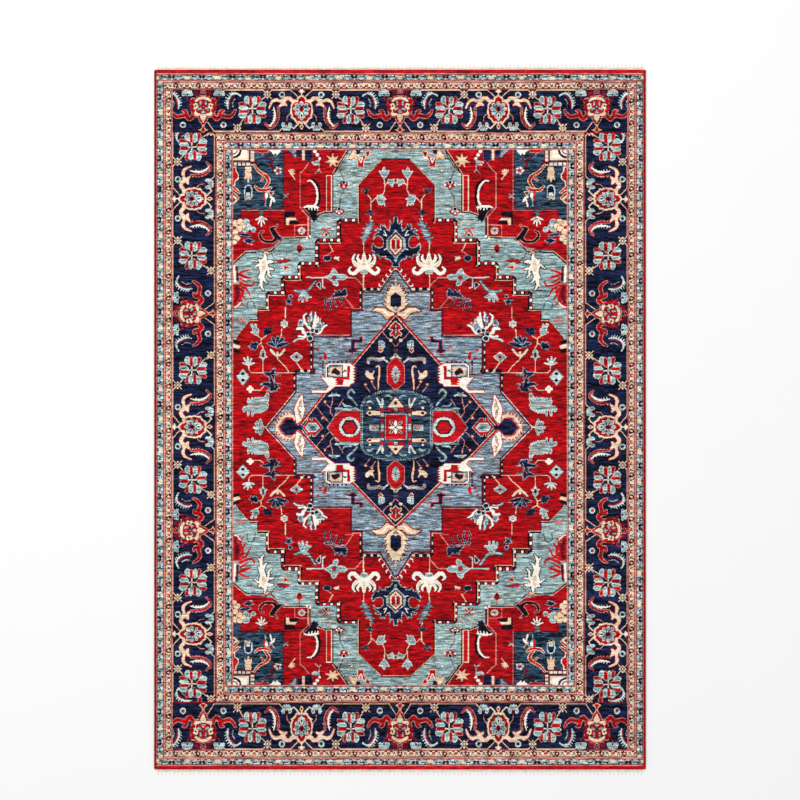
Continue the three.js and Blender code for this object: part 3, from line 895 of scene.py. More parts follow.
def draw_panel_top(field):
    """What stands along the end of the corner panel: bars, teeth, a pale leaf and a red mass."""
    field.area([(385, 1385), (308, 1385), (323, 1370), (340, 1343), (360, 1348), (372, 1365)],
               CRIMSON, MAROON, 3)
    for x, y, radius in [(400, 1378, 9), (388, 1360, 9), (377, 1342, 7)]:
        field.dot(x, y, radius, IVORY)
    star(field, 312, 1332, 44, PEACH, 7, MAROON)
    field.dot(312, 1330, 12, CREAM)
    comb(field, [(410, 1322, 4), (396, 1322, 6), (382, 1328, 4)], PALE, (0, -12), ICE)
    field.line([(380, 1328), (378, 1285), (370, 1272)], PALE, 5)
    field.line([(378, 1288), (398, 1268)], PALE, 5)
    for left, right, low in [(468, 488, 1345), (415, 448, 1325)]:
        foot = [(right, low + 12), ((left + right) / 2, low), (left, low + 12)]
        field.area([(left, 1385), (right, 1385), *foot], NAVY, TEAL, 3)
    field.rectangle(453, 463, 1335, 1385, CREAM)
    field.area([(537, 1385), (495, 1385), (490, 1350), (502, 1343), (512, 1365)], SLATE, NAVY, 3)
    field.area([(630, 1385), (570, 1385), (571, 1378), (590, 1358), (596, 1372), (606, 1360),
                (614, 1375)], IVORY)
    field.area([(702, 1385), (632, 1385), (632, 1370), (655, 1372), (660, 1358), (665, 1372),
                (702, 1375)], CRIMSON, PINK, 3)
    field.line([(432, 1320), (452, 1290), (473, 1270), (473, 1100), (455, 1075), (432, 1050),
                (430, 960)], PINK, 5)
    field.line([(500, 1238), (515, 1262), (500, 1268)], CREAM)
    for tooth in range(4):
        field.stroke([(516, 1262, 4), (503 + tooth * 9, 1290 - abs(tooth - 1.5) * 5, 3)], CREAM)
    field.line([(533, 1165), (557, 1145)], PALE, 5)
    field.line([(533, 1145), (557, 1165)], PALE, 5)
    field.rectangle(318, 343, 1078, 1258, CRIMSON, CREAM)


def draw_panel_palmette(field):
    """The half flower in the panel: ivory arches inside a dark body."""
    shadow = [(412, 1238, 4), (395, 1222, 6), (382, 1200, 6), (378, 1170, 6), (379, 1130, 6), (392, 1095, 8)]
    field.stroke(shadow, BLACK)
    field.area([(455, 1092), (428, 1070), (426, 1040), (412, 1034), (404, 1018), (398, 1034),
                (384, 1026), (390, 1044), (374, 1046), (392, 1060), (386, 1080), (386, 1110),
                (440, 1100)], BLACK, SLATE, 2)
    field.stroke([(438, 1230, 3), (420, 1230, 4), (405, 1215, 5), (394, 1195, 5), (389, 1170, 5),
                  (389, 1140, 5), (395, 1118, 5), (406, 1105, 5)], IVORY, MAROON, 2)
    field.stroke([(455, 1098, 3), (440, 1104, 5), (410, 1104, 6), (384, 1098, 4)], IVORY, MAROON, 2)
    for x, y in [(432, 1092), (418, 1090), (402, 1090), (389, 1088)]:
        field.stroke([(x, y + 10, 4), (x - 3, y - 4, 2)], IVORY)
    field.rectangle(420, 430, 960, 1050, BLACK, PINK, 3)
    field.dot(425, 954, 6, IVORY)
    field.dot(440, 944, 6, IVORY)
    field.line([(500, 950), (500, 1010), (434, 1012)], PINK)
    field.petals(466, 982, 8, 14, 5, ICE)
    field.dot(466, 982, 9, PALE)
    field.dot(466, 982, 5, CRIMSON)


def draw_panel_hook(field):
    """The big dark hook of the panel, the two nested angles above it, and the shell at the side."""
    field.joined([
        [(588, 1012, 2), (596, 1000, 3), (615, 992, 8), (606, 977, 11), (594, 958, 12), (578, 944, 9),
         (560, 938, 3)],
        [(594, 944, 9), (606, 930, 7), (629, 926, 6), (652, 930, 6), (668, 944, 6), (673, 960, 5),
         (668, 974, 4), (656, 980, 3)],
    ], BLACK, PINK, 3)
    field.line([(565, 938), (580, 918), (600, 902), (620, 893), (645, 890), (690, 880), (742, 882)],
               SLATE, 7)
    field.area([(553, 1078), (498, 1078), (498, 1053), (530, 1053), (530, 1010), (553, 1010)], BLACK)
    field.area([(543, 1010), (543, 1048), (498, 1048), (490, 1034), (526, 1034), (530, 1010)], CREAM)
    field.area([(528, 1032), (500, 1034), (478, 1023), (478, 1014), (526, 1014)], BLACK)
    field.area([(682, 1088), (653, 1088), (656, 1075), (661, 1055), (673, 1055), (678, 1075)],
               GREEN, TEAL, 3)
    for tip_x, tip_y in [(640, 1038), (650, 1018), (666, 1006), (682, 1018), (692, 1038)]:
        field.stroke([(666, 1050, 5), (tip_x, tip_y, 3)], IVORY, MAROON, 2)
    for x, y, radius in [(742, 1024, 14), (728, 1000, 10), (706, 988, 10), (745, 992, 14)]:
        field.dot(x, y, radius, PALE, ICE, 3)
    for x, y, radius in [(795, 1020, 16), (772, 1026, 15), (758, 1006, 15), (776, 992, 15),
                         (796, 975, 15), (788, 945, 17), (800, 925, 12)]:
        field.dot(x, y, radius, CREAM, MAROON, 3)
    field.stroke(arc(778, 1006, 12, -60, 200, 3), PEACH)
    field.stroke([(768, 964, 5), (745, 962, 6), (724, 957, 3)], NAVY, SLATE, 3)
    field.area([(757, 935), (730, 944), (700, 932), (718, 925), (713, 913), (737, 920)], NAVY, SLATE, 3)


def draw_block(field):
    """The teal corner block: a cream corner box, beads, tassels, vines and a red tulip."""
    field.rectangle(726, 807, 1333, 1385, CREAM, MAROON)
    field.rectangle(738, 807, 1345, 1385, IVORY)
    field.stroke([(770, 1385, 5), (774, 1366, 6), (790, 1352, 6), (807, 1347, 5)], NAVY)
    field.stroke([(786, 1385, 3), (790, 1372, 3), (807, 1364, 3)], MAROON)
    for start, end in (((700, 1315), (807, 1315)), ((711, 1325), (711, 1385))):
        field.line([start, end], MAROON, 25)
        for bead, (x, y) in enumerate(spaced(start, end, 21)):
            field.rectangle(x - 8, x + 8, y - 8, y + 8, (CREAM, ICE)[bead % 2])
    field.area([(807, 1300), (792, 1300), (792, 1280), (780, 1262), (782, 1240), (798, 1228),
                (800, 1205), (807, 1200)], CRIMSON, IVORY, 4)
    field.stroke([(807, 1200, 5), (790, 1184, 5), (776, 1172, 3)], CRIMSON, CREAM, 3)
    field.stroke([(803, 1165, 5), (782, 1145, 4)], CRIMSON, CREAM, 3)
    field.stroke([(805, 1155, 3), (790, 1140, 5), (792, 1130, 5), (806, 1120, 4)], CREAM)
    field.area([(744, 1300), (720, 1300), (716, 1285), (721, 1275), (717, 1262), (714, 1235),
                (725, 1250), (732, 1223), (739, 1250), (749, 1236), (744, 1265), (748, 1275),
                (742, 1285)], PEACH, CREAM, 3)
    field.area([(746, 1140), (749, 1180), (746, 1200), (735, 1209), (721, 1206), (714, 1190),
                (714, 1150)], NAVY, ICE, 5)
    field.rectangle(722, 740, 1146, 1172, ICE)
    field.area([(748, 1132), (732, 1160), (716, 1132), (732, 1142)], PEACH, MAROON, 2)
    field.stroke([(702, 1310, 3), (690, 1292, 4), (678, 1278, 5), (660, 1266, 6), (645, 1256, 7),
                  (634, 1244, 7), (630, 1228, 6), (640, 1208, 5), (655, 1186, 4)],
                 CRIMSON, CREAM, 3)
    field.stroke([(652, 1264, 4), (656, 1246, 4), (667, 1232, 3)], CRIMSON, CREAM, 2)
    field.stroke([(698, 1204, 3), (686, 1190, 5), (672, 1184, 6), (640, 1184, 6), (620, 1196, 4)],
                 CRIMSON, CREAM, 3)
    field.area([(632, 1177), (603, 1177), (618, 1153)], MAROON, CREAM, 3)
    field.stroke([(654, 1185, 4), (652, 1135, 4)], CRIMSON)
    field.oval(641, 1158, 8, 14, IVORY)
    field.stroke([(644, 1142, 4), (646, 1108, 4)], PALE)
    field.stroke([(622, 1150, 4), (610, 1146, 5), (602, 1128, 4)], IVORY)
    field.stroke([(612, 1148, 4), (622, 1106, 4)], IVORY)
    field.stroke([(640, 1350, 4), (612, 1330, 5), (618, 1310, 6), (607, 1290, 6), (611, 1270, 4)],
                 MAROON)
    field.petals(585, 1282, 5, 13, 7, ICE, 0, GREEN, 2)
    star(field, 583, 1282, 17, CRIMSON, 5)
    star(field, 600, 1340, 13, MAROON, 4, GREEN)


def draw_diamond_flowers(field):
    """The flowers on the medallion's dark diamond."""
    axis = Tile(-5, 85, -72, 130)
    axis.area(mirrored([(0, 124), (12, 113), (22, 104), (28, 96), (25, 90), (36, 88), (28, 83),
                        (17, 81), (14, 77), (21, 70), (29, 60), (24, 50), (16, 55), (10, 49),
                        (0, 36)]), CRIMSON, CREAM, 4)
    axis.stroke([(0, 104, 3), (0, 60, 3)], PALE, MAROON, 5)
    axis.line([(3, -2), (14, 14), (24, 26), (45, 44), (56, 58), (66, 74)], PINK, 4)
    axis.dot(24, 28, 8, CREAM)
    for petal in range(6):
        angle = math.radians(60 * petal + 30)
        axis.oval(75 + 13 * math.cos(angle), 5 + 14 * math.sin(angle), 8, 9, PALE, ICE, 2)
    axis.area([(62, -8), (75, -18), (89, -8), (85, -24), (75, -36), (65, -24)], CRIMSON, CREAM, 3)
    axis.stroke([(75, 14, 2), (75, -4, 2)], MAROON)
    axis.oval(0, -22, 9, 9, TEAL, MAROON, 4)
    axis.oval(0, -50, 8, 10, PALE, ICE, 3)
    axis.stroke([(8, -54, 4), (24, -64, 4)], CREAM)
    field.stamp(axis, 0, 407)
    field.stroke([(135, 322, 3), (133, 340, 6), (108, 342, 6), (80, 338, 6), (60, 345, 5)],
                 PALE, PINK, 3)
    field.stroke([(62, 344, 4), (40, 326, 4)], ICE)
    field.area([(-PAST, 352), (12, 344), (26, 328), (38, 312), (42, 300), (42, 225), (12, 195),
                (-PAST, 180)], CRIMSON, PINK, 4)
    leaf = [(0, 222)]
    for reach, tooth in zip([13, 19, 22, 20, 13], range(5)):
        leaf += [(9, 232 + 13 * tooth), (reach, 240 + 13 * tooth)]
    field.area(mirrored(leaf + [(0, 306)]), PALE, ICE, 2)
    field.oval(0, 266, 4, 9, CRIMSON)
    field.stroke([(96, 302, 3), (86, 306, 4), (80, 296, 4), (80, 262, 5), (84, 240, 4),
                  (86, 190, 2)], PEACH, MAROON, 2)
    for stem in ([(118, 225), (100, 192)], [(150, 210), (128, 178)],
                 [(305, 50), (325, 75), (322, 100), (315, 125), (312, 158)], [(350, 125), (325, 98)],
                 [(400, 115), (360, 60), (330, 25)], [(262, 140), (285, 100), (305, 50)]):
        field.line(stem, PINK, 4)
    field.stroke([(205, 172, 3), (215, 187, 5), (230, 184, 5), (237, 168, 5), (228, 152, 5),
                  (212, 138, 4), (192, 110, 3)], PALE, TEAL, 3)
    field.stroke([(298, 94, 4), (270, 92, 5), (230, 88, 6), (200, 94, 7), (188, 92, 4)], PALE, TEAL, 3)
    field.stroke([(220, 104, 4), (250, 108, 5), (262, 122, 3)], PALE)
    for x, y in [(150, 215), (118, 230), (362, 48), (350, 128)]:
        star(field, x, y, 13, PEACH, 5, MAROON)
    field.stroke([(280, 160, 4), (305, 164, 6), (330, 158, 4)], ICE, TEAL, 3)
    field.stroke([(295, 172, 3), (305, 160, 5), (316, 172, 3)], PALE)
    field.area([(150, 282), (138, 287), (127, 272), (115, 274), (109, 287), (103, 283), (110, 262),
                (111, 252), (103, 247), (108, 238), (127, 240), (142, 250), (152, 262)],
               CREAM, MAROON, 3)
    draw_cross_flowers(field)


def draw_cross_flowers(field):
    """The red flowers on the diamond's long axis, either side of the centre."""
    field.area([(165, -PAST), (165, 86), (274, 85), (308, 48), (340, 0), (334, -PAST)], CRIMSON, PALE, 4)
    field.petals(228, 0, 20, 43, 10, ICE)
    for half_width, half_height, yarn in [(42, 38, BLACK), (34, 30, CRIMSON)]:
        half = [(half_width / 2, half_height), (half_width, 0), (half_width, -PAST)]
        field.area([(228 + x, y) for x, y in mirrored(half)], yarn)
    field.area([(466, -PAST), (463, 0), (438, 36), (435, 50), (425, 50), (422, 34), (416, 34),
                (412, 50), (402, 50), (392, 40), (360, 0), (360, -PAST)], CRIMSON, PALE, 3)
    field.area([(450, -PAST), (446, 0), (430, 23), (398, 23), (378, 0), (378, -PAST)], PALE, ICE, 5)
    field.oval(412, 0, 16, 9, GREEN)


def draw_shoulder(field):
    """The white and red figure where the diamond and the grey ground meet."""
    field.area([(418, 170), (342, 170), (300, 204), (228, 204), (222, 216), (206, 222), (199, 238),
                (199, 302), (226, 320), (332, 320), (348, 308), (348, 248), (374, 256), (334, 206),
                (346, 186), (418, 186)], IVORY, CRIMSON, 4)
    field.area([(302, 212), (262, 212), (258, 237), (228, 239), (225, 308), (241, 308), (241, 252),
                (308, 252), (314, 246), (292, 242), (304, 236), (290, 229), (304, 224), (288, 219)],
               CRIMSON)
    for step in range(5):
        middle = 236 + 14 * step
        field.area([(199, middle - 7), (213, middle), (199, middle + 7)], MAROON)
        field.dot(244 + 21 * step, 326, 5, (BLACK, MAROON)[step % 2])
        field.dot(360, 264 + 16 * step, 5, (BLACK, MAROON)[step % 2])
    field.area([(338, 252), (262, 252), (262, 312), (322, 312), (338, 300)], SLATE, BLACK, 4)
    field.area([(328, 258), (268, 258), (268, 302), (320, 302), (328, 292)], PEACH)
    field.area([(320, 268), (303, 269), (290, 261), (279, 263), (278, 278), (290, 288), (300, 296),
                (312, 290)], NAVY, MAROON, 3)
    field.stroke([(260, 276, 2), (251, 284, 4), (244, 277, 2)], BLACK)
    field.oval(348, 352, 8, 16, CRIMSON, PINK, 2)
    field.dot(374, 344, 8, CRIMSON)


def draw_grey_ground(field):
    """The flame, the hexagon and the small marks of the medallion's grey ground."""
    collar = [[(592, 0, 5), (574, 30, 6), (552, 54, 6), (514, 58, 7), (492, 34, 8)]]
    for x, y in [(590, 12), (580, 26), (570, 40), (556, 54), (540, 58), (524, 62)]:
        collar.append([(x, y, 5), (x + 8, y + 16, 2)])
    field.joined(collar, CREAM, CRIMSON, 3)
    field.area([(484, -PAST), (484, 10), (512, 44), (545, 44), (578, 0), (574, -PAST)], NAVY, CRIMSON, 5)
    field.area([(468, -PAST), (468, 12), (492, 9), (492, -PAST)], NAVY)
    field.joined([[(489, 26, 4), (480, 50, 16), (477, 86, 24), (476, 114, 18), (469, 144, 8),
                   (465, 164, 2)]], IVORY, CRIMSON, 4)
    for x, y in [(484, 60), (490, 88), (482, 116)]:
        field.stroke([(x - 14, y - 12, 2), (x - 8, y + 8, 3), (x - 12, y + 20, 1)], PEACH, MAROON, 2)
    for u, v in [(385, 386), (355, 370), (257, 402)]:
        star(field, u, v, 12, CRIMSON, 4)
    field.line([(257, 402), (257, 380)], PINK, 3)
    flag = [(164, 455), (178, 450), (180, 437), (220, 437), (220, 392), (233, 388), (235, 378),
            (218, 374), (214, 366), (210, 374), (195, 378), (192, 386), (202, 392), (202, 424),
            (166, 424)]
    field.area(flag, NAVY, CRIMSON, 3)
    field.line([(250, 600), (208, 600)], PINK)
    field.line([(218, 452), (404, 452)], TEAL, 4)


def scallops(field, start, end, spacing=13):
    """Small pale bows side by side from one point to another."""
    for x, y in spaced(start, end, spacing):
        field.dot(x, y, spacing * 0.3, TEAL, PALE, 2)


def draw_centre(field):
    """The teal cartouche in the middle: a star in a red square, beads, arrows and triangles."""
    field.line(CENTRE_EDGE, TEAL, 8)
    for start, end in zip(CENTRE_EDGE, CENTRE_EDGE[1:]):
        scallops(field, start, end)
    field.rectangle(-PAST, 52, -PAST, 66, CRIMSON, PALE, 4)
    field.stroke([(10, 10, 1), (20, 22, 4), (27, 30, 2)], BLACK, ICE, 2)
    for x, y in [(1, 0), (0, 1)]:
        field.stroke([(8 * x, 8 * y, 3), (20 * x, 20 * y, 8), (34 * x, 34 * y, 2)], IVORY, MAROON, 2)
    field.dot(0, 0, 6, CRIMSON, IVORY, 3)
    for low, high, yarn in [(-PAST, 22, PALE), (27, 51, CRIMSON), (56, 72, PALE), (77, 98, CRIMSON)]:
        field.rectangle(58, 74, low, high, yarn, MAROON, 3)
    for left, right, yarn in [(-PAST, 10, PALE), (14, 42, CRIMSON)]:
        field.rectangle(left, right, 80, 97, yarn, MAROON, 3)
    field.area([(-43, 100), (43, 100), (0, 156)], CREAM, MAROON, 4)
    field.dot(0, 122, 9, MAROON)
    field.area([(74, 82), (132, 86), (150, 72), (132, 58), (74, 60)], CREAM, MAROON, 4)
    field.dot(128, 72, 8, MAROON)
    field.dot(128, 98, 6, IVORY)
    field.rectangle(80, 132, -PAST, 18, PALE, MAROON, 4)
    field.dot(104, 0, 8, PINK, MAROON, 3)
    field.stroke([(65, 142, 4), (65, 120, 5), (70, 104, 6)], ICE, MAROON, 2)
    field.stroke([(92, 145, 4), (80, 124, 5), (73, 106, 4)], ICE, MAROON, 2)
    field.stroke([(20, 150, 3), (34, 160, 4), (50, 156, 3)], PALE)
    field.stroke([(112, 120, 3), (128, 132, 5), (140, 124, 3)], PALE)


def draw_field():
    """The whole quarter drawing: its grounds and edges, then its flowers."""
    field = Tile(0, HALF_WIDTH, 0, HALF_LENGTH)
    for draw in (
        draw_grounds, draw_edges, draw_end_vine, draw_lily, draw_fish_and_scorpion,
        draw_scattered_flowers, draw_side_palmette, draw_white_flower, draw_pendant,
        draw_lizard, draw_flames, draw_spandrel_flowers, draw_panel_top, draw_panel_palmette,
        draw_panel_hook, draw_block, draw_diamond_flowers, draw_shoulder, draw_grey_ground, draw_centre,
    ):
        draw(field)
    return field


# The whole pile -----------------------------------------------------------------------------


def box_mm(node):
    """A node's left, right, bottom and top, in millimetres."""
    low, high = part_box(node)
    return [round(value / MM) for value in (low[0], high[0], low[1], high[1])]


def frame_round(pile, name, strip_for):
    """Stamps the four strips of one border where its nodes are, outer sides outwards."""
    for turn, side in enumerate(("top", "left", "bottom", "right")):
        left, right, bottom, top = box_mm(f"{name}_{side}")
        lies_across = side in ("top", "bottom")
        length = right - left if lies_across else top - bottom
        height = top - bottom if lies_across else right - left
        strip = strip_for(side, length)
        rows = np.arange(height) * strip.cells.shape[0] // height
        strip.cells = strip.cells[rows]
        strip.left, strip.bottom = -(length // 2), -(height // 2)
        pile.stamp(strip, (left + right) / 2, (bottom + top) / 2, turn)


# Flowers along the main border. Each run goes from one corner to the next; a side's run is
# given from its upper corner down, measured on the rug.
ROUND = ["palmette", "wheel", "aster", "wheel"]
END_FLOWERS = 9
END_PITCH = 246
SIDE_STOPS = [0, 210, 470, 755, 1045, 1328, 1610, 1875, 2128, 2389, 2647, 2896, 3103]
SIDE_SHIFT = 12  # how far above its middle a side's run lies


def border_strip(side, length):
    """The strip of the main border for one side of the rug."""
    if side in ("top", "bottom"):
        stations = [(ROUND[i % 4], (i - END_FLOWERS // 2) * END_PITCH) for i in range(END_FLOWERS)]
    else:
        start = SIDE_STOPS[-1] / 2 + SIDE_SHIFT
        downwards = 1 if side == "right" else -1
        stations = [(ROUND[i % 4], downwards * (stop - start)) for i, stop in enumerate(SIDE_STOPS)]
    return main_border(length, stations)


# Where heights in the lower half of the drawing come out on the loom, as shares of its length
LOWER_DRAWN = [0, 0.41, 0.57, 1]
LOWER_WOVEN = [0, 0.388, 0.585, 1]
DESIGN_MIDDLE = (-22, -40)  # the medallion's middle on the rug


def woven():
    """Where the field starts on the pile, which column and row of the quarter drawing each of
    its millimetres takes, and which of them are on the right and in the upper half."""
    left = box_mm("inner_blue_guard_left")[1]
    right = box_mm("inner_blue_guard_right")[0]
    bottom = box_mm("inner_blue_guard_bottom")[3]
    top = box_mm("inner_blue_guard_top")[2]
    x = np.arange(left, right) + 0.5 - DESIGN_MIDDLE[0]
    y = np.arange(bottom, top) + 0.5 - DESIGN_MIDDLE[1]
    u = np.where(x < 0, x / (left - DESIGN_MIDDLE[0]), x / (right - DESIGN_MIDDLE[0])) * HALF_WIDTH
    share = np.interp(y / (bottom - DESIGN_MIDDLE[1]), LOWER_WOVEN, LOWER_DRAWN)
    v = np.where(y < 0, share, y / (top - DESIGN_MIDDLE[1])) * HALF_LENGTH
    columns = np.clip(u, 0, HALF_WIDTH - 1).astype(int)
    rows = np.clip(v, 0, HALF_LENGTH - 1).astype(int)
    pile_left, _, pile_bottom, _ = box_mm("foundation")
    return left - pile_left, bottom - pile_bottom, columns, rows, x > 0, y > 0


def place_field(pile):
    """Weaves the quarter drawing into the field's four quarters, each to its own size."""
    first_column, first_row, columns, rows, _, _ = woven()
    place = pile.cells[first_row:, first_column:]
    place[:len(rows), :len(columns)] = draw_field().cells[np.ix_(rows, columns)]


def draw_pile():
    """The whole pile: red, with the five borders and the field on it."""
    left, right, bottom, top = box_mm("foundation")
    pile = Tile(left, right, bottom, top, CRIMSON)
    for kind, unit in (("blue_guard", blue_guard_unit()), ("cream_guard", cream_guard_unit())):
        height = unit.cells.shape[0]
        for place in ("outer", "inner"):
            frame_round(pile, f"{place}_{kind}", lambda side, length: repeated(unit, length, height))
    frame_round(pile, "main_border", border_strip)
    place_field(pile)
    return pile


# Pile ---------------------------------------------------------------------------------------

KNOT = 3  # about, both along and across
BACK_KNOT = 12  # each face of the rug's underside is this wide and shows the back of one knot
KNOT_JITTER = 0.45

# The pile's height, in millimetres: how far it lies below the top of its box, how far it rounds
# down at the rug's edge and over what width, and how much it rises and falls
TOP_GAP = 0.5
ROUNDING, ROUNDED_WIDTH = 2.2, 7
SWELL, ROW_RISE, CLIPPING = 0.35, 0.15, 0.14

# What each kind of uneven dyeing weighs in a knot's tone
DOUBLE_ROWS, TRIPLE_ROWS, BATCHES, KNOT_BY_KNOT, WARMTH = 0.95, 0.4, 0.12, 0.5, 0.4
BATCH = 13  # rows that one batch of yarn lasts for

SEEDS = {
    "pile": 7, "foundation": 5, "selvedge_left": 21, "selvedge_right": 22,
    "end_weave_top": 31, "end_weave_bottom": 32, "fringe_top": 41, "fringe_bottom": 42,
}
SLOTS = {
    "foundation": "cotton", "end_weave": "cotton", "fringe": "cotton",
    "selvedge": "red_wool", "end_stripe": "red_wool", "field_ground": "red_wool",
    "corner_panel": "red_wool", "outer_blue_guard": "pale_blue_wool",
    "inner_blue_guard": "pale_blue_wool", "spandrel": "pale_blue_wool",
    "outer_cream_guard": "cream_wool", "inner_cream_guard": "cream_wool",
    "main_border": "navy_wool", "medallion_diamond": "navy_wool",
    "medallion_centre": "teal_wool", "corner_block": "teal_wool", "medallion_ground": "slate_wool",
}
ENDS = ("bottom", "top")
SIDES = ("left", "right")


def slot_of(name):
    """The record's material slot for a piece, from the start of its name."""
    return next(slot for start, slot in SLOTS.items() if name.startswith(start))


def linear(colour):
    """An sRGB colour from 0 to 255 as Blender's linear one."""
    share = np.asarray(colour, float) / 255
    return np.where(share < 0.04045, share / 12.92, ((share + 0.055) / 1.055) ** 2.4)


def streaks(random, rows, columns, run):
    """Noise from about -1 to 1 that is new in every row and changes slowly along it."""
    coarse = random.normal(0, 0.6, (rows, columns // run + 3))
    at = np.arange(columns) / run
    whole = at.astype(int)
    share = at - whole
    share = share * share * (3 - 2 * share)
    return coarse[:, whole] * (1 - share) + coarse[:, whole + 1] * share


def draw_pieces():
    """The whole pile with the number of its piece in every cell, and the names by number."""
    left, right, bottom, top = box_mm("foundation")
    numbers = np.zeros((top - bottom, right - left), np.int16)
    names = {}
    for border in ("end_stripe", "outer_blue_guard", "outer_cream_guard", "main_border",
                   "inner_cream_guard", "inner_blue_guard"):
        for side in ENDS + (() if border == "end_stripe" else SIDES):
            x0, x1, y0, y1 = box_mm(f"{border}_{side}")
            numbers[y0 - bottom:y1 - bottom, x0 - left:x1 - left] = names.setdefault(
                f"{border}_{side}", len(names))
    first_column, first_row, columns, rows, is_right, is_upper = woven()
    region = draw_regions().cells[np.ix_(rows, columns)]
    window = numbers[first_row:first_row + len(rows), first_column:first_column + len(columns)]
    for number, pattern in enumerate(REGION_PIECES):
        for upper, end in enumerate(ENDS):
            for on_right, side in enumerate(SIDES):
                name = pattern.format(end=end, side=side)
                quarter = (is_upper == upper)[:, None] & (is_right == on_right)
                window[(region == number) & quarter] = names.setdefault(name, len(names))
    return numbers, list(names)


def without_touching_corners(piece):
    """Moves knots between pieces until no piece meets itself only at a corner."""
    for _ in range(6):
        a, b, c, d = piece[:-1, :-1], piece[:-1, 1:], piece[1:, :-1], piece[1:, 1:]
        loose = (a == d) & (a != b) & (a != c)
        b[loose] = a[loose]
        a, b, c, d = piece[:-1, :-1], piece[:-1, 1:], piece[1:, :-1], piece[1:, 1:]
        loose = (b == c) & (b != a) & (b != d)
        a[loose] = b[loose]
    return piece


def shared_streaks(random, rows, columns, together, run):
    """Streaks that this many rows have together."""
    return np.repeat(streaks(random, rows // together + 1, columns, run), together, axis=0)[:rows]


def dyed(random, yarn):
    """Each knot's linear colour: its yarn's dye, with the streaks of uneven dyeing."""
    rows, columns = yarn.shape
    tone = streaks(random, rows, columns, 7)
    tone = tone + DOUBLE_ROWS * shared_streaks(random, rows, columns, 2, 11)
    tone = tone + TRIPLE_ROWS * shared_streaks(random, rows, columns, 3, 40)
    tone = tone + BATCHES * np.repeat(random.normal(0, 1, rows // BATCH + 1), BATCH)[:rows, None]
    tone = tone + KNOT_BY_KNOT * random.normal(0, 1, yarn.shape)
    warmth = WARMTH * shared_streaks(random, rows, columns, 2, 9)[..., None] * (1, 0, -0.5)
    uneven = np.array(UNEVEN)[yarn][..., None]
    shade = np.clip(1 + uneven * (tone[..., None] + warmth), 0.15, 2)
    return np.clip(linear(np.array(DYES)[yarn] * shade), 0, 1)


def knot_corners(random, x, y):
    """Where the corners of the knots are, in metres, their tops clipped a little unevenly."""
    x, y = np.meshgrid(x, y)
    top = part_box("field_ground")[1][2] / MM
    edge = np.minimum(np.minimum(x - x.min(), x.max() - x), np.minimum(y - y.min(), y.max() - y))
    rounding = ROUNDING * np.clip(1 - edge / ROUNDED_WIDTH, 0, 1) ** 2
    swell = SWELL * np.sin(x / 190 + 1.3 * np.sin(y / 310)) * np.sin(y / 240 + 0.8)
    rows = ROW_RISE * np.where(np.arange(x.shape[0]) % 2, 1, -1)[:, None]
    z = top - TOP_GAP - rounding + swell + rows + random.normal(0, CLIPPING, x.shape)
    inner = edge > 0.5
    x = x + inner * random.uniform(-KNOT_JITTER, KNOT_JITTER, x.shape)
    y = y + inner * random.uniform(-KNOT_JITTER, KNOT_JITTER, y.shape)
    return np.dstack([x, y, z]) * MM


def finish_piece(obj, name, material, *nodes):
    """What every piece needs: its material and its body, with the CAD nodes it stands for hidden."""
    obj.data.materials.append(material)
    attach(obj, "root")
    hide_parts(*nodes)
    return obj


def new_object(name, data):
    """An object in the scene with this mesh, light or camera."""
    obj = bpy.data.objects.new(name, data)
    bpy.context.scene.collection.objects.link(obj)
    return obj


def boundary(mask):
    """The sides of the masked knots that face others, as (row, column) corners from and to."""
    wide = np.pad(mask, 1)
    here = wide[1:-1, 1:-1]
    sides = []
    for beside, start, end in (
        (wide[:-2, 1:-1], (0, 0), (0, 1)), (wide[1:-1, 2:], (0, 1), (1, 1)),
        (wide[2:, 1:-1], (1, 1), (1, 0)), (wide[1:-1, :-2], (1, 0), (0, 0)),
    ):
        rows, columns = np.nonzero(here & ~beside)
        sides.append(np.stack([rows, columns, rows + start[0], columns + start[1],
                               rows + end[0], columns + end[1]], axis=1))
    return np.concatenate(sides)


def paint_faces(mesh, colours):
    """Gives each face of a mesh its colour, in the attribute that the wool's materials read."""
    values = np.hstack([colours, np.ones((len(colours), 1))]).astype(np.float32)
    mesh.attributes.new("yarn", "FLOAT_COLOR", "FACE").data.foreach_set("color", values.ravel())


def pile_mesh(name, mask, corners, colour, floor):
    """A closed mesh of one quad for each knot, walls down to the foundation and a flat base."""
    width = corners.shape[1]
    rows, columns = np.nonzero(mask)
    first = rows * width + columns
    quads = np.stack([first, first + 1, first + width + 1, first + width], axis=1)
    used, quads = np.unique(quads, return_inverse=True)
    quads = quads.reshape(-1, 4)
    place = corners.reshape(-1, 3)[used]
    sides = boundary(mask)
    start = np.searchsorted(used, sides[:, 2] * width + sides[:, 3])
    end = np.searchsorted(used, sides[:, 4] * width + sides[:, 5])
    low = np.full(len(used), -1)
    low[start] = len(used) + np.arange(len(start))
    base = place[start].copy()
    base[:, 2] = floor
    walls = np.stack([low[start], low[end], end, start], axis=1)
    follows = dict(zip(low[start].tolist(), low[end].tolist()))
    loop = [int(low[start[0]])]
    while follows[loop[-1]] != loop[0]:
        loop.append(follows[loop[-1]])
    mesh = bpy.data.meshes.new(name)
    faces = quads.tolist() + walls.tolist() + [loop[::-1]]
    mesh.from_pydata(np.concatenate([place, base]), [], faces)
    rounded = np.zeros(len(mesh.polygons), bool)
    rounded[:len(quads)] = True
    mesh.polygons.foreach_set("use_smooth", rounded)
    tops, under = colour[mask], colour[mask].mean(axis=0)[None]
    paint_faces(mesh, np.concatenate([tops, colour[sides[:, 0], sides[:, 1]], under]))
    lay_flat_map(mesh, len(quads), len(walls))
    return mesh


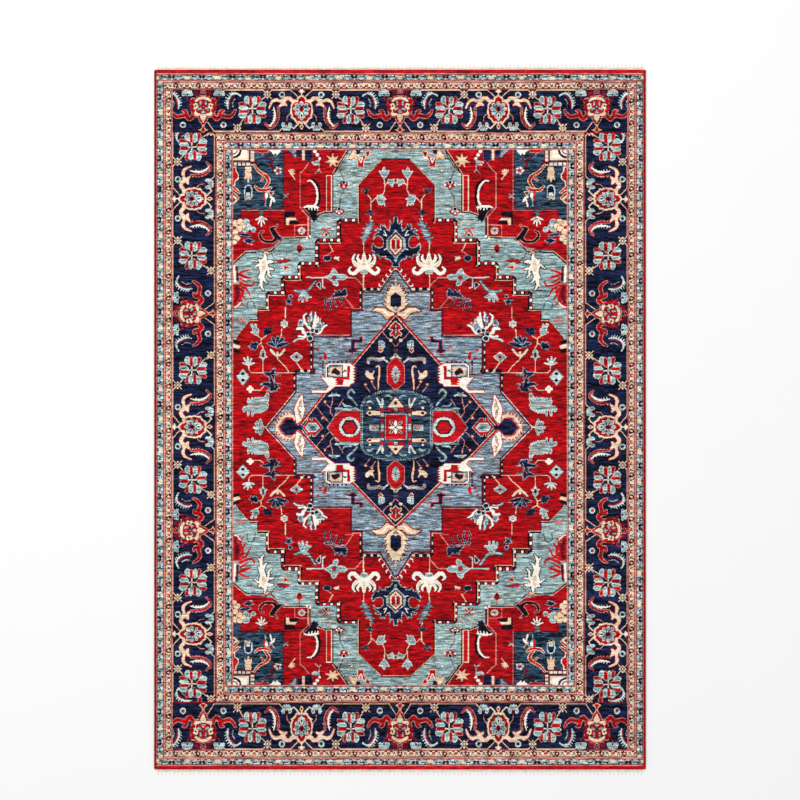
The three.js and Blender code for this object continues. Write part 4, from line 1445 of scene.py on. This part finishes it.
def lay_flat_map(mesh, quads, walls):
    """A map for baking: the top from above, with the walls and the base in strips beyond it."""
    place = np.empty(len(mesh.vertices) * 3, np.float32)
    mesh.vertices.foreach_get("co", place)
    corner = np.empty(len(mesh.loops), np.int32)
    mesh.loops.foreach_get("vertex_index", corner)
    place = place.reshape(-1, 3)[corner]
    low, high = place.min(axis=0), place.max(axis=0)
    share = (place - low) / (high - low)
    flat = share[:, :2] * (0.99, 0.93) + 0.005
    wall = slice(quads * 4, (quads + walls) * 4)
    flat[wall, 1] = 0.945 + 0.01 * share[wall, 2]
    flat[wall.stop:, 1] = 0.97 + 0.02 * share[wall.stop:, 1]
    mesh.uv_layers.new(name="OFBake").data.foreach_set("uv", flat.astype(np.float32).ravel())


def make_pile(drawing, materials):
    """The pile's pieces from its drawing. Returns every knot's colour, by row and column."""
    random = np.random.default_rng(SEEDS["pile"])
    left, right, bottom, top = box_mm("foundation")
    x = np.linspace(left, right, round((right - left) / KNOT) + 1)
    y = np.linspace(bottom, top, round((top - bottom) / KNOT) + 1)
    rows = ((y[1:] + y[:-1]) / 2 - bottom).astype(int)
    columns = ((x[1:] + x[:-1]) / 2 - left).astype(int)
    numbers, names = draw_pieces()
    piece = without_touching_corners(numbers[np.ix_(rows, columns)])
    colour = dyed(random, drawing.cells[np.ix_(rows, columns)])
    corners = knot_corners(random, x, y)
    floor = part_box("foundation")[1][2]
    for number, name in enumerate(names):
        mesh = pile_mesh(name, piece == number, corners, colour, floor)
        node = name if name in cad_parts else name.rsplit("_", 2)[0]
        obj = new_object(name + "_pile", mesh)
        finish_piece(obj, name, materials[slot_of(name)], node)
    return colour


# Foundation, ends and selvedges -------------------------------------------------------------


def grid_faces(rings, around, closed=False):
    """Quads between rings of points, each ring having this many points."""
    faces = []
    for ring in range(rings - 1):
        for i in range(around if closed else around - 1):
            a, b = ring * around + i, ring * around + (i + 1) % around
            faces.append((a, b, b + around, a + around))
    return faces


class Bundle:
    """Vertices and faces of many strands, gathered into one mesh."""

    def __init__(self):
        self.vertices = []
        self.faces = []

    def strand(self, line, sides=7):
        """A closed tube round points (x, y, z, radius)."""
        line = np.array(line, float)
        ahead = np.gradient(line[:, :3], axis=0)
        ahead /= np.linalg.norm(ahead, axis=1)[:, None]
        flat = np.cross(ahead, (0, 0, 1))
        flat /= np.linalg.norm(flat, axis=1)[:, None]
        up = np.cross(flat, ahead)
        first = len(self.vertices)
        for place, across, upward in zip(line, flat, up):
            for i in range(sides):
                angle = 2 * math.pi * i / sides
                offset = across * math.cos(angle) + upward * math.sin(angle)
                self.vertices.append(tuple(place[:3] + offset * place[3]))
        self.tube(sides, first)

    def tube(self, around, first):
        """The faces of a closed tube whose rings, of this many points, start at a vertex."""
        last = len(self.vertices)
        rings = grid_faces((last - first) // around, around, closed=True)
        self.faces += [tuple(first + i for i in face[::-1]) for face in rings]
        self.faces.append(tuple(range(first, first + around)))
        self.faces.append(tuple(range(last - 1, last - 1 - around, -1)))

    def mesh(self, name):
        """The strands as one smooth mesh, in metres."""
        mesh = bpy.data.meshes.new(name)
        mesh.from_pydata([(x * MM, y * MM, z * MM) for x, y, z in self.vertices], [], self.faces)
        mesh.shade_smooth()
        return mesh


def foundation_mesh(colour):
    """The cotton sheet, the backs of the knots showing on its underside."""
    low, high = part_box("foundation")
    random = np.random.default_rng(SEEDS["foundation"])
    columns = round((high[0] - low[0]) / MM / BACK_KNOT)
    rows = round((high[1] - low[1]) / MM / BACK_KNOT)
    x, y = np.meshgrid(np.linspace(low[0], high[0], columns + 1), np.linspace(low[1], high[1], rows + 1))
    inner = np.zeros(x.shape, bool)
    inner[1:-1, 1:-1] = True
    z = low[2] + inner * random.uniform(0, 0.0004, x.shape)
    under = np.dstack([x, y, z]).reshape(-1, 3)
    faces = [face[::-1] for face in grid_faces(rows + 1, columns + 1)]
    wide = columns + 1
    rim = [*range(wide), *range(2 * wide - 1, wide * (rows + 1), wide),
           *range(wide * (rows + 1) - 2, wide * rows - 1, -1), *range(wide * (rows - 1), 0, -wide)]
    above = under[rim].copy()
    above[:, 2] = high[2]
    upper = [len(under) + i for i in range(len(rim))]
    walls = [(rim[i - 1], rim[i], upper[i], upper[i - 1]) for i in range(len(rim))]
    mesh = bpy.data.meshes.new("foundation")
    mesh.from_pydata(np.concatenate([under, above]), [], faces + walls + [upper])
    step_y = np.linspace(0, colour.shape[0] - 1, rows).astype(int)
    step_x = np.linspace(0, colour.shape[1] - 1, columns).astype(int)
    backs = colour[np.ix_(step_y, step_x)].reshape(-1, 3)
    rest = np.tile(linear(DYES[CREAM]), (len(walls) + 1, 1))
    paint_faces(mesh, np.vstack([backs, rest]))
    return mesh


def make_foundation(colour, materials):
    """The cotton sheet that the knots are tied on."""
    obj = new_object("foundation_cotton", foundation_mesh(colour))
    return finish_piece(obj, "foundation", materials["woven_back"], "foundation")


def make_selvedge(side, materials):
    """A cord of red wool, overcast on the outer warps in slanting turns."""
    low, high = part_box(f"selvedge_{side}")
    out = -1 if side == "left" else 1
    middle = (low[0] + high[0]) / 2 / MM
    half_width = (high[0] - low[0]) / 2 / MM
    half_height = (high[2] - low[2]) / 2 / MM
    length = (high[1] - low[1]) / MM
    random = np.random.default_rng(SEEDS[f"selvedge_{side}"])
    turn_pitch, ring_pitch, around = 7, 2.2, 12
    rings = round(length / ring_pitch)
    thickness = np.repeat(random.normal(0, 0.03, rings // 3 + 1), 3)
    bundle = Bundle()
    for ring in range(rings + 1):
        y = low[1] / MM + length * ring / rings
        taper = math.sqrt(min(1, (0.3 + min(ring, rings - ring)) / 3))
        for i in range(around):
            angle = 2 * math.pi * i / around
            turn = 2 * math.pi * y / turn_pitch + 1.5 * angle * out
            swell = taper * (0.91 + 0.07 * abs(math.sin(turn / 2)) + thickness[min(ring, rings - 1)])
            bundle.vertices.append((middle + half_width * swell * math.cos(angle), y,
                                    half_height * (1 + swell * math.sin(angle))))
    bundle.tube(around, 0)
    obj = new_object(f"selvedge_{side}_overcast", bundle.mesh(f"selvedge_{side}"))
    return finish_piece(obj, "selvedge", materials["overcast_wool"], f"selvedge_{side}")


def make_end_weave(end, materials):
    """A strip of plain weave: a few thick wefts packed side by side."""
    low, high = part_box(f"end_weave_{end}")
    random = np.random.default_rng(SEEDS[f"end_weave_{end}"])
    wefts = 4
    pitch = (high[1] - low[1]) / MM / wefts
    thickness = (high[2] - low[2]) / MM
    steps = 420
    bundle = Bundle()
    for weft in range(wefts):
        y = low[1] / MM + pitch * (weft + 0.5)
        drift = np.cumsum(random.normal(0, 0.05, steps + 1))
        drift -= np.linspace(drift[0], drift[-1], steps + 1)
        line = []
        for step in range(steps + 1):
            x = (low[0] + (high[0] - low[0]) * step / steps) / MM
            weave = 0.22 * math.cos(math.pi * (step + weft))
            line.append((x, y + np.clip(drift[step], -0.3, 0.3), thickness / 2 + weave, pitch * 0.58))
        bundle.strand(line, 8)
    obj = new_object(f"end_weave_{end}_wefts", bundle.mesh(f"end_weave_{end}"))
    return finish_piece(obj, "end_weave", materials["cotton"], f"end_weave_{end}")


TASSEL_PITCH = 20
KNOT_ROW = 4  # how wide the row of locking knots is
PLAIT_PITCH, PLAIT_STEP = 10, 2.5


def make_fringe(end, materials):
    """The warp ends: a plaited row of locking knots with short twisted tassels from it."""
    low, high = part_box(f"fringe_{end}")
    out = 1 if end == "top" else -1
    random = np.random.default_rng(SEEDS[f"fringe_{end}"])
    root = (low[1] if out > 0 else high[1]) / MM
    length = (high[1] - low[1]) / MM - KNOT_ROW
    left, right = low[0] / MM, high[0] / MM
    bundle = Bundle()
    for phase in (0, math.pi):
        line = []
        for step in range(round((right - left) / PLAIT_STEP) + 1):
            x = min(left + 1 + step * PLAIT_STEP, right - 1)
            swing = 2 * math.pi * x / PLAIT_PITCH + phase
            line.append((x, root + out * (2 + 0.7 * math.sin(swing)), 1.5 + 0.5 * math.cos(swing), 1.0))
        bundle.strand(line, 6)
    count = int((right - left - 7) / TASSEL_PITCH) + 1
    for tassel in range(count):
        x = (tassel - (count - 1) / 2) * TASSEL_PITCH + random.uniform(-1, 1)
        bundle.strand([(x - 2.6, root + out * 3.2, 1.5, 0.5), (x - 1, root + out * 3.6, 1.6, 1.3),
                       (x + 1, root + out * 3.6, 1.6, 1.3), (x + 2.6, root + out * 3.2, 1.5, 0.5)], 7)
        lean = random.uniform(-2, 2)
        reach = length * random.uniform(0.78, 0.98)
        for strand in range(3):
            line = []
            for step in range(8):
                share = step / 7
                swing = 2 * math.pi * (share * 1.2 + strand / 3)
                spread = 1.0 + 0.7 * share
                line.append((x + lean * share**2 + spread * math.cos(swing),
                             root + out * (KNOT_ROW - 0.8 + reach * share),
                             1.35 + 0.45 * (1 - 0.5 * share) * math.sin(swing),
                             0.85 - 0.35 * share))
            bundle.strand(line, 6)
    obj = new_object(f"fringe_{end}_tassels", bundle.mesh(f"fringe_{end}"))
    return finish_piece(obj, "fringe", materials["cotton"], f"fringe_{end}")


# Materials ----------------------------------------------------------------------------------

SPECULAR = 0.04  # yarn hardly shines
SHEEN_ROUGHNESS = 0.6


class Nodes:
    """A small helper for a material's node tree."""

    def __init__(self, name):
        self.material = bpy.data.materials.new(name)
        self.material.use_nodes = True
        self.tree = self.material.node_tree
        self.shader = self.tree.nodes["Principled BSDF"]
        self.place = self.node("ShaderNodeTexCoord").outputs["Object"]

    def node(self, kind, inputs=None, **settings):
        """A new node, its inputs linked to sockets or set to values."""
        node = self.tree.nodes.new(kind)
        for name, value in settings.items():
            setattr(node, name, value)
        for name, value in (inputs or {}).items():
            if isinstance(value, bpy.types.NodeSocket):
                self.tree.links.new(value, node.inputs[name])
            else:
                node.inputs[name].default_value = value
        return node

    def stretched(self, scale):
        """Places on the piece, scaled along each axis."""
        return self.node("ShaderNodeMapping", {"Vector": self.place, "Scale": scale}).outputs["Vector"]

    def noise(self, scale, detail=2, roughness=0.5):
        """Noise from 0 to 1, its grains this many to a metre along each axis."""
        inputs = {"Vector": self.stretched(scale), "Scale": 1, "Detail": detail, "Roughness": roughness}
        return self.node("ShaderNodeTexNoise", inputs).outputs["Fac"]

    def level(self, value, low, high):
        """A value from 0 to 1 as one from low to high."""
        inputs = {"Value": value, "To Min": low, "To Max": high}
        return self.node("ShaderNodeMapRange", inputs).outputs["Result"]

    def math(self, operation, a, b):
        """Two values put together."""
        return self.node("ShaderNodeMath", {0: a, 1: b}, operation=operation).outputs[0]

    def bump(self, height, distance_mm, strength=1.0):
        """Small relief from a value."""
        inputs = {"Height": height, "Distance": distance_mm * MM, "Strength": strength}
        normal = self.node("ShaderNodeBump", inputs).outputs["Normal"]
        self.tree.links.new(normal, self.shader.inputs["Normal"])

    def colour(self, colour, bright):
        """The base colour, with its brightness multiplied."""
        inputs = {"Color": colour, "Value": bright}
        result = self.node("ShaderNodeHueSaturation", inputs).outputs["Color"]
        self.tree.links.new(result, self.shader.inputs["Base Color"])

    def ramp(self, value, start, first, end, last):
        """The colour between two sRGB ones, the first below a value and the last above another."""
        ramp = self.node("ShaderNodeValToRGB", {"Fac": value})
        for stop, at, colour in zip(ramp.color_ramp.elements, (start, end), (first, last)):
            stop.color = (*linear(colour), 1)
            stop.position = at
        return ramp.outputs["Color"]

    def finish(self, roughness, sheen):
        """The material, with the values that all of its surface shares."""
        self.shader.inputs["Roughness"].default_value = roughness
        self.shader.inputs["Specular IOR Level"].default_value = SPECULAR
        self.shader.inputs["Sheen Weight"].default_value = sheen
        self.shader.inputs["Sheen Roughness"].default_value = SHEEN_ROUGHNESS
        return self.material


def wool_material(name):
    """Clipped wool pile: the knots' own yarns, with rows, fibres and a soft bloom."""
    nodes = Nodes(name)
    yarn = nodes.node("ShaderNodeAttribute", attribute_name="yarn").outputs["Color"]
    fibres = nodes.noise((900, 900, 300), 3, 0.65)
    rows = nodes.noise((14, 420, 1), 2, 0.5)
    bright = nodes.math("MULTIPLY", nodes.level(fibres, 0.72, 1.28), nodes.level(rows, 0.84, 1.16))
    nodes.colour(yarn, bright)
    nodes.bump(nodes.math("ADD", fibres, nodes.level(rows, 0, 0.7)), 0.8, 0.8)
    return nodes.finish(0.9, 0.01)


def make_materials():
    """Every material by the name of its slot, or of what it is used for."""
    materials = {}
    for slot in ("red_wool", "pale_blue_wool", "cream_wool", "navy_wool", "teal_wool", "slate_wool"):
        materials[slot] = wool_material(f"{slot}_pile")
    materials["cotton"] = cotton_material()
    materials["woven_back"] = woven_back_material()
    materials["overcast_wool"] = overcast_material()
    return materials


def cotton_material():
    """Undyed cotton yarn, with the twist of its plies and a little age in its colour."""
    nodes = Nodes("cotton_yarn")
    plies = nodes.noise((700, 700, 700), 3, 0.6)
    age = nodes.noise((30, 60, 30), 3, 0.6)
    yarn = nodes.ramp(age, 0.3, (232, 220, 200), 0.65, (250, 246, 234))
    nodes.colour(yarn, nodes.level(plies, 0.85, 1.15))
    nodes.bump(plies, 0.5)
    return nodes.finish(0.85, 0.02)


def woven_back_material():
    """The underside: knot backs in rows, with cotton wefts showing between them."""
    nodes = Nodes("woven_back")
    yarn = nodes.node("ShaderNodeAttribute", attribute_name="yarn").outputs["Color"]
    inputs = {"Vector": nodes.place, "Scale": 125, "Distortion": 1.2, "Detail": 2}
    wefts = nodes.node("ShaderNodeTexWave", inputs, bands_direction="Y").outputs["Fac"]
    knots = nodes.noise((400, 250, 1), 2, 0.6)
    cotton = (*linear((226, 212, 188)), 1)
    share = nodes.math("MULTIPLY", nodes.level(wefts, 0, 0.5), knots)
    mix = nodes.node("ShaderNodeMix", {"Factor": share, "A": yarn, "B": cotton}, data_type="RGBA")
    nodes.colour(mix.outputs["Result"], nodes.level(knots, 0.75, 1.2))
    nodes.bump(nodes.math("ADD", wefts, knots), 0.6)
    return nodes.finish(0.92, 0.05)


def overcast_material():
    """Red wool wound round the edge warps."""
    nodes = Nodes("overcast_red_wool")
    fibres = nodes.noise((500, 900, 500), 3, 0.65)
    batches = nodes.noise((4, 60, 4), 2, 0.6)
    yarn = nodes.ramp(batches, 0.3, (112, 12, 16), 0.7, (176, 30, 34))
    nodes.colour(yarn, nodes.level(fibres, 0.75, 1.25))
    nodes.bump(fibres, 0.6)
    return nodes.finish(0.88, 0.03)


# Floor, light and camera --------------------------------------------------------------------

# Lengths in metres, but the lens in millimetres
VIEW_WIDTH = 4.0  # how much of the floor the picture covers
CAMERA_LENS = 100
VIEW_RISE = 0.0978  # the picture's middle lies this far from the rug's, towards its upper end
FAR = 200
FLOOR_SIZE = 60
FLOOR_GAP = 0.0005
WORLD_STRENGTH = 0.85
LAMP_ENERGY = 260
LAMP_SIZE = (6, 5)
LAMP_PLACE = (-3.2, 5.2, 6.5)


def make_floor():
    """The pale floor that the rug lies on."""
    bpy.ops.mesh.primitive_plane_add(size=FLOOR_SIZE, location=(0, 0, cad_box[0][2] - FLOOR_GAP))
    floor = bpy.context.object
    floor.name = "floor"
    nodes = Nodes("pale_floor")
    cloud = nodes.noise((3, 3, 3), 2, 0.5)
    colour = nodes.node("ShaderNodeRGB")
    colour.outputs[0].default_value = (0.93, 0.93, 0.93, 1)
    nodes.colour(colour.outputs[0], nodes.level(cloud, 0.995, 1.005))
    floor.data.materials.append(nodes.finish(0.9, 0))


def make_light():
    """An even white room and a large soft lamp from the upper left."""
    world = bpy.data.worlds.new("studio")
    bpy.context.scene.world = world
    world.use_nodes = True
    background = world.node_tree.nodes["Background"]
    background.inputs["Color"].default_value = (1, 1, 1, 1)
    background.inputs["Strength"].default_value = WORLD_STRENGTH
    lamp = bpy.data.lights.new("softbox", "AREA")
    lamp.shape = "RECTANGLE"
    lamp.size, lamp.size_y = LAMP_SIZE
    lamp.energy = LAMP_ENERGY
    obj = new_object("softbox", lamp)
    obj.location = LAMP_PLACE
    towards = -obj.location
    obj.rotation_mode = "QUATERNION"
    obj.rotation_quaternion = towards.to_track_quat("-Z", "Y")


def make_camera():
    """A long lens straight above the rug, as in the photo."""
    camera = bpy.data.cameras.new("camera")
    camera.lens = CAMERA_LENS
    obj = new_object("camera", camera)
    height = VIEW_WIDTH * CAMERA_LENS / camera.sensor_width
    obj.location = (0, VIEW_RISE, cad_box[1][2] + height)
    camera.clip_end = FAR
    bpy.context.scene.camera = obj
    bpy.context.scene.view_settings.view_transform = "Standard"


# The rug ------------------------------------------------------------------------------------


def main():
    """Builds the scene."""
    make_camera()
    make_light()
    make_floor()
    materials = make_materials()
    colour = make_pile(draw_pile(), materials)
    foundation = make_foundation(colour, materials)
    for side in SIDES:
        make_selvedge(side, materials)
    for end in ENDS:
        make_end_weave(end, materials)
        make_fringe(end, materials)


main()
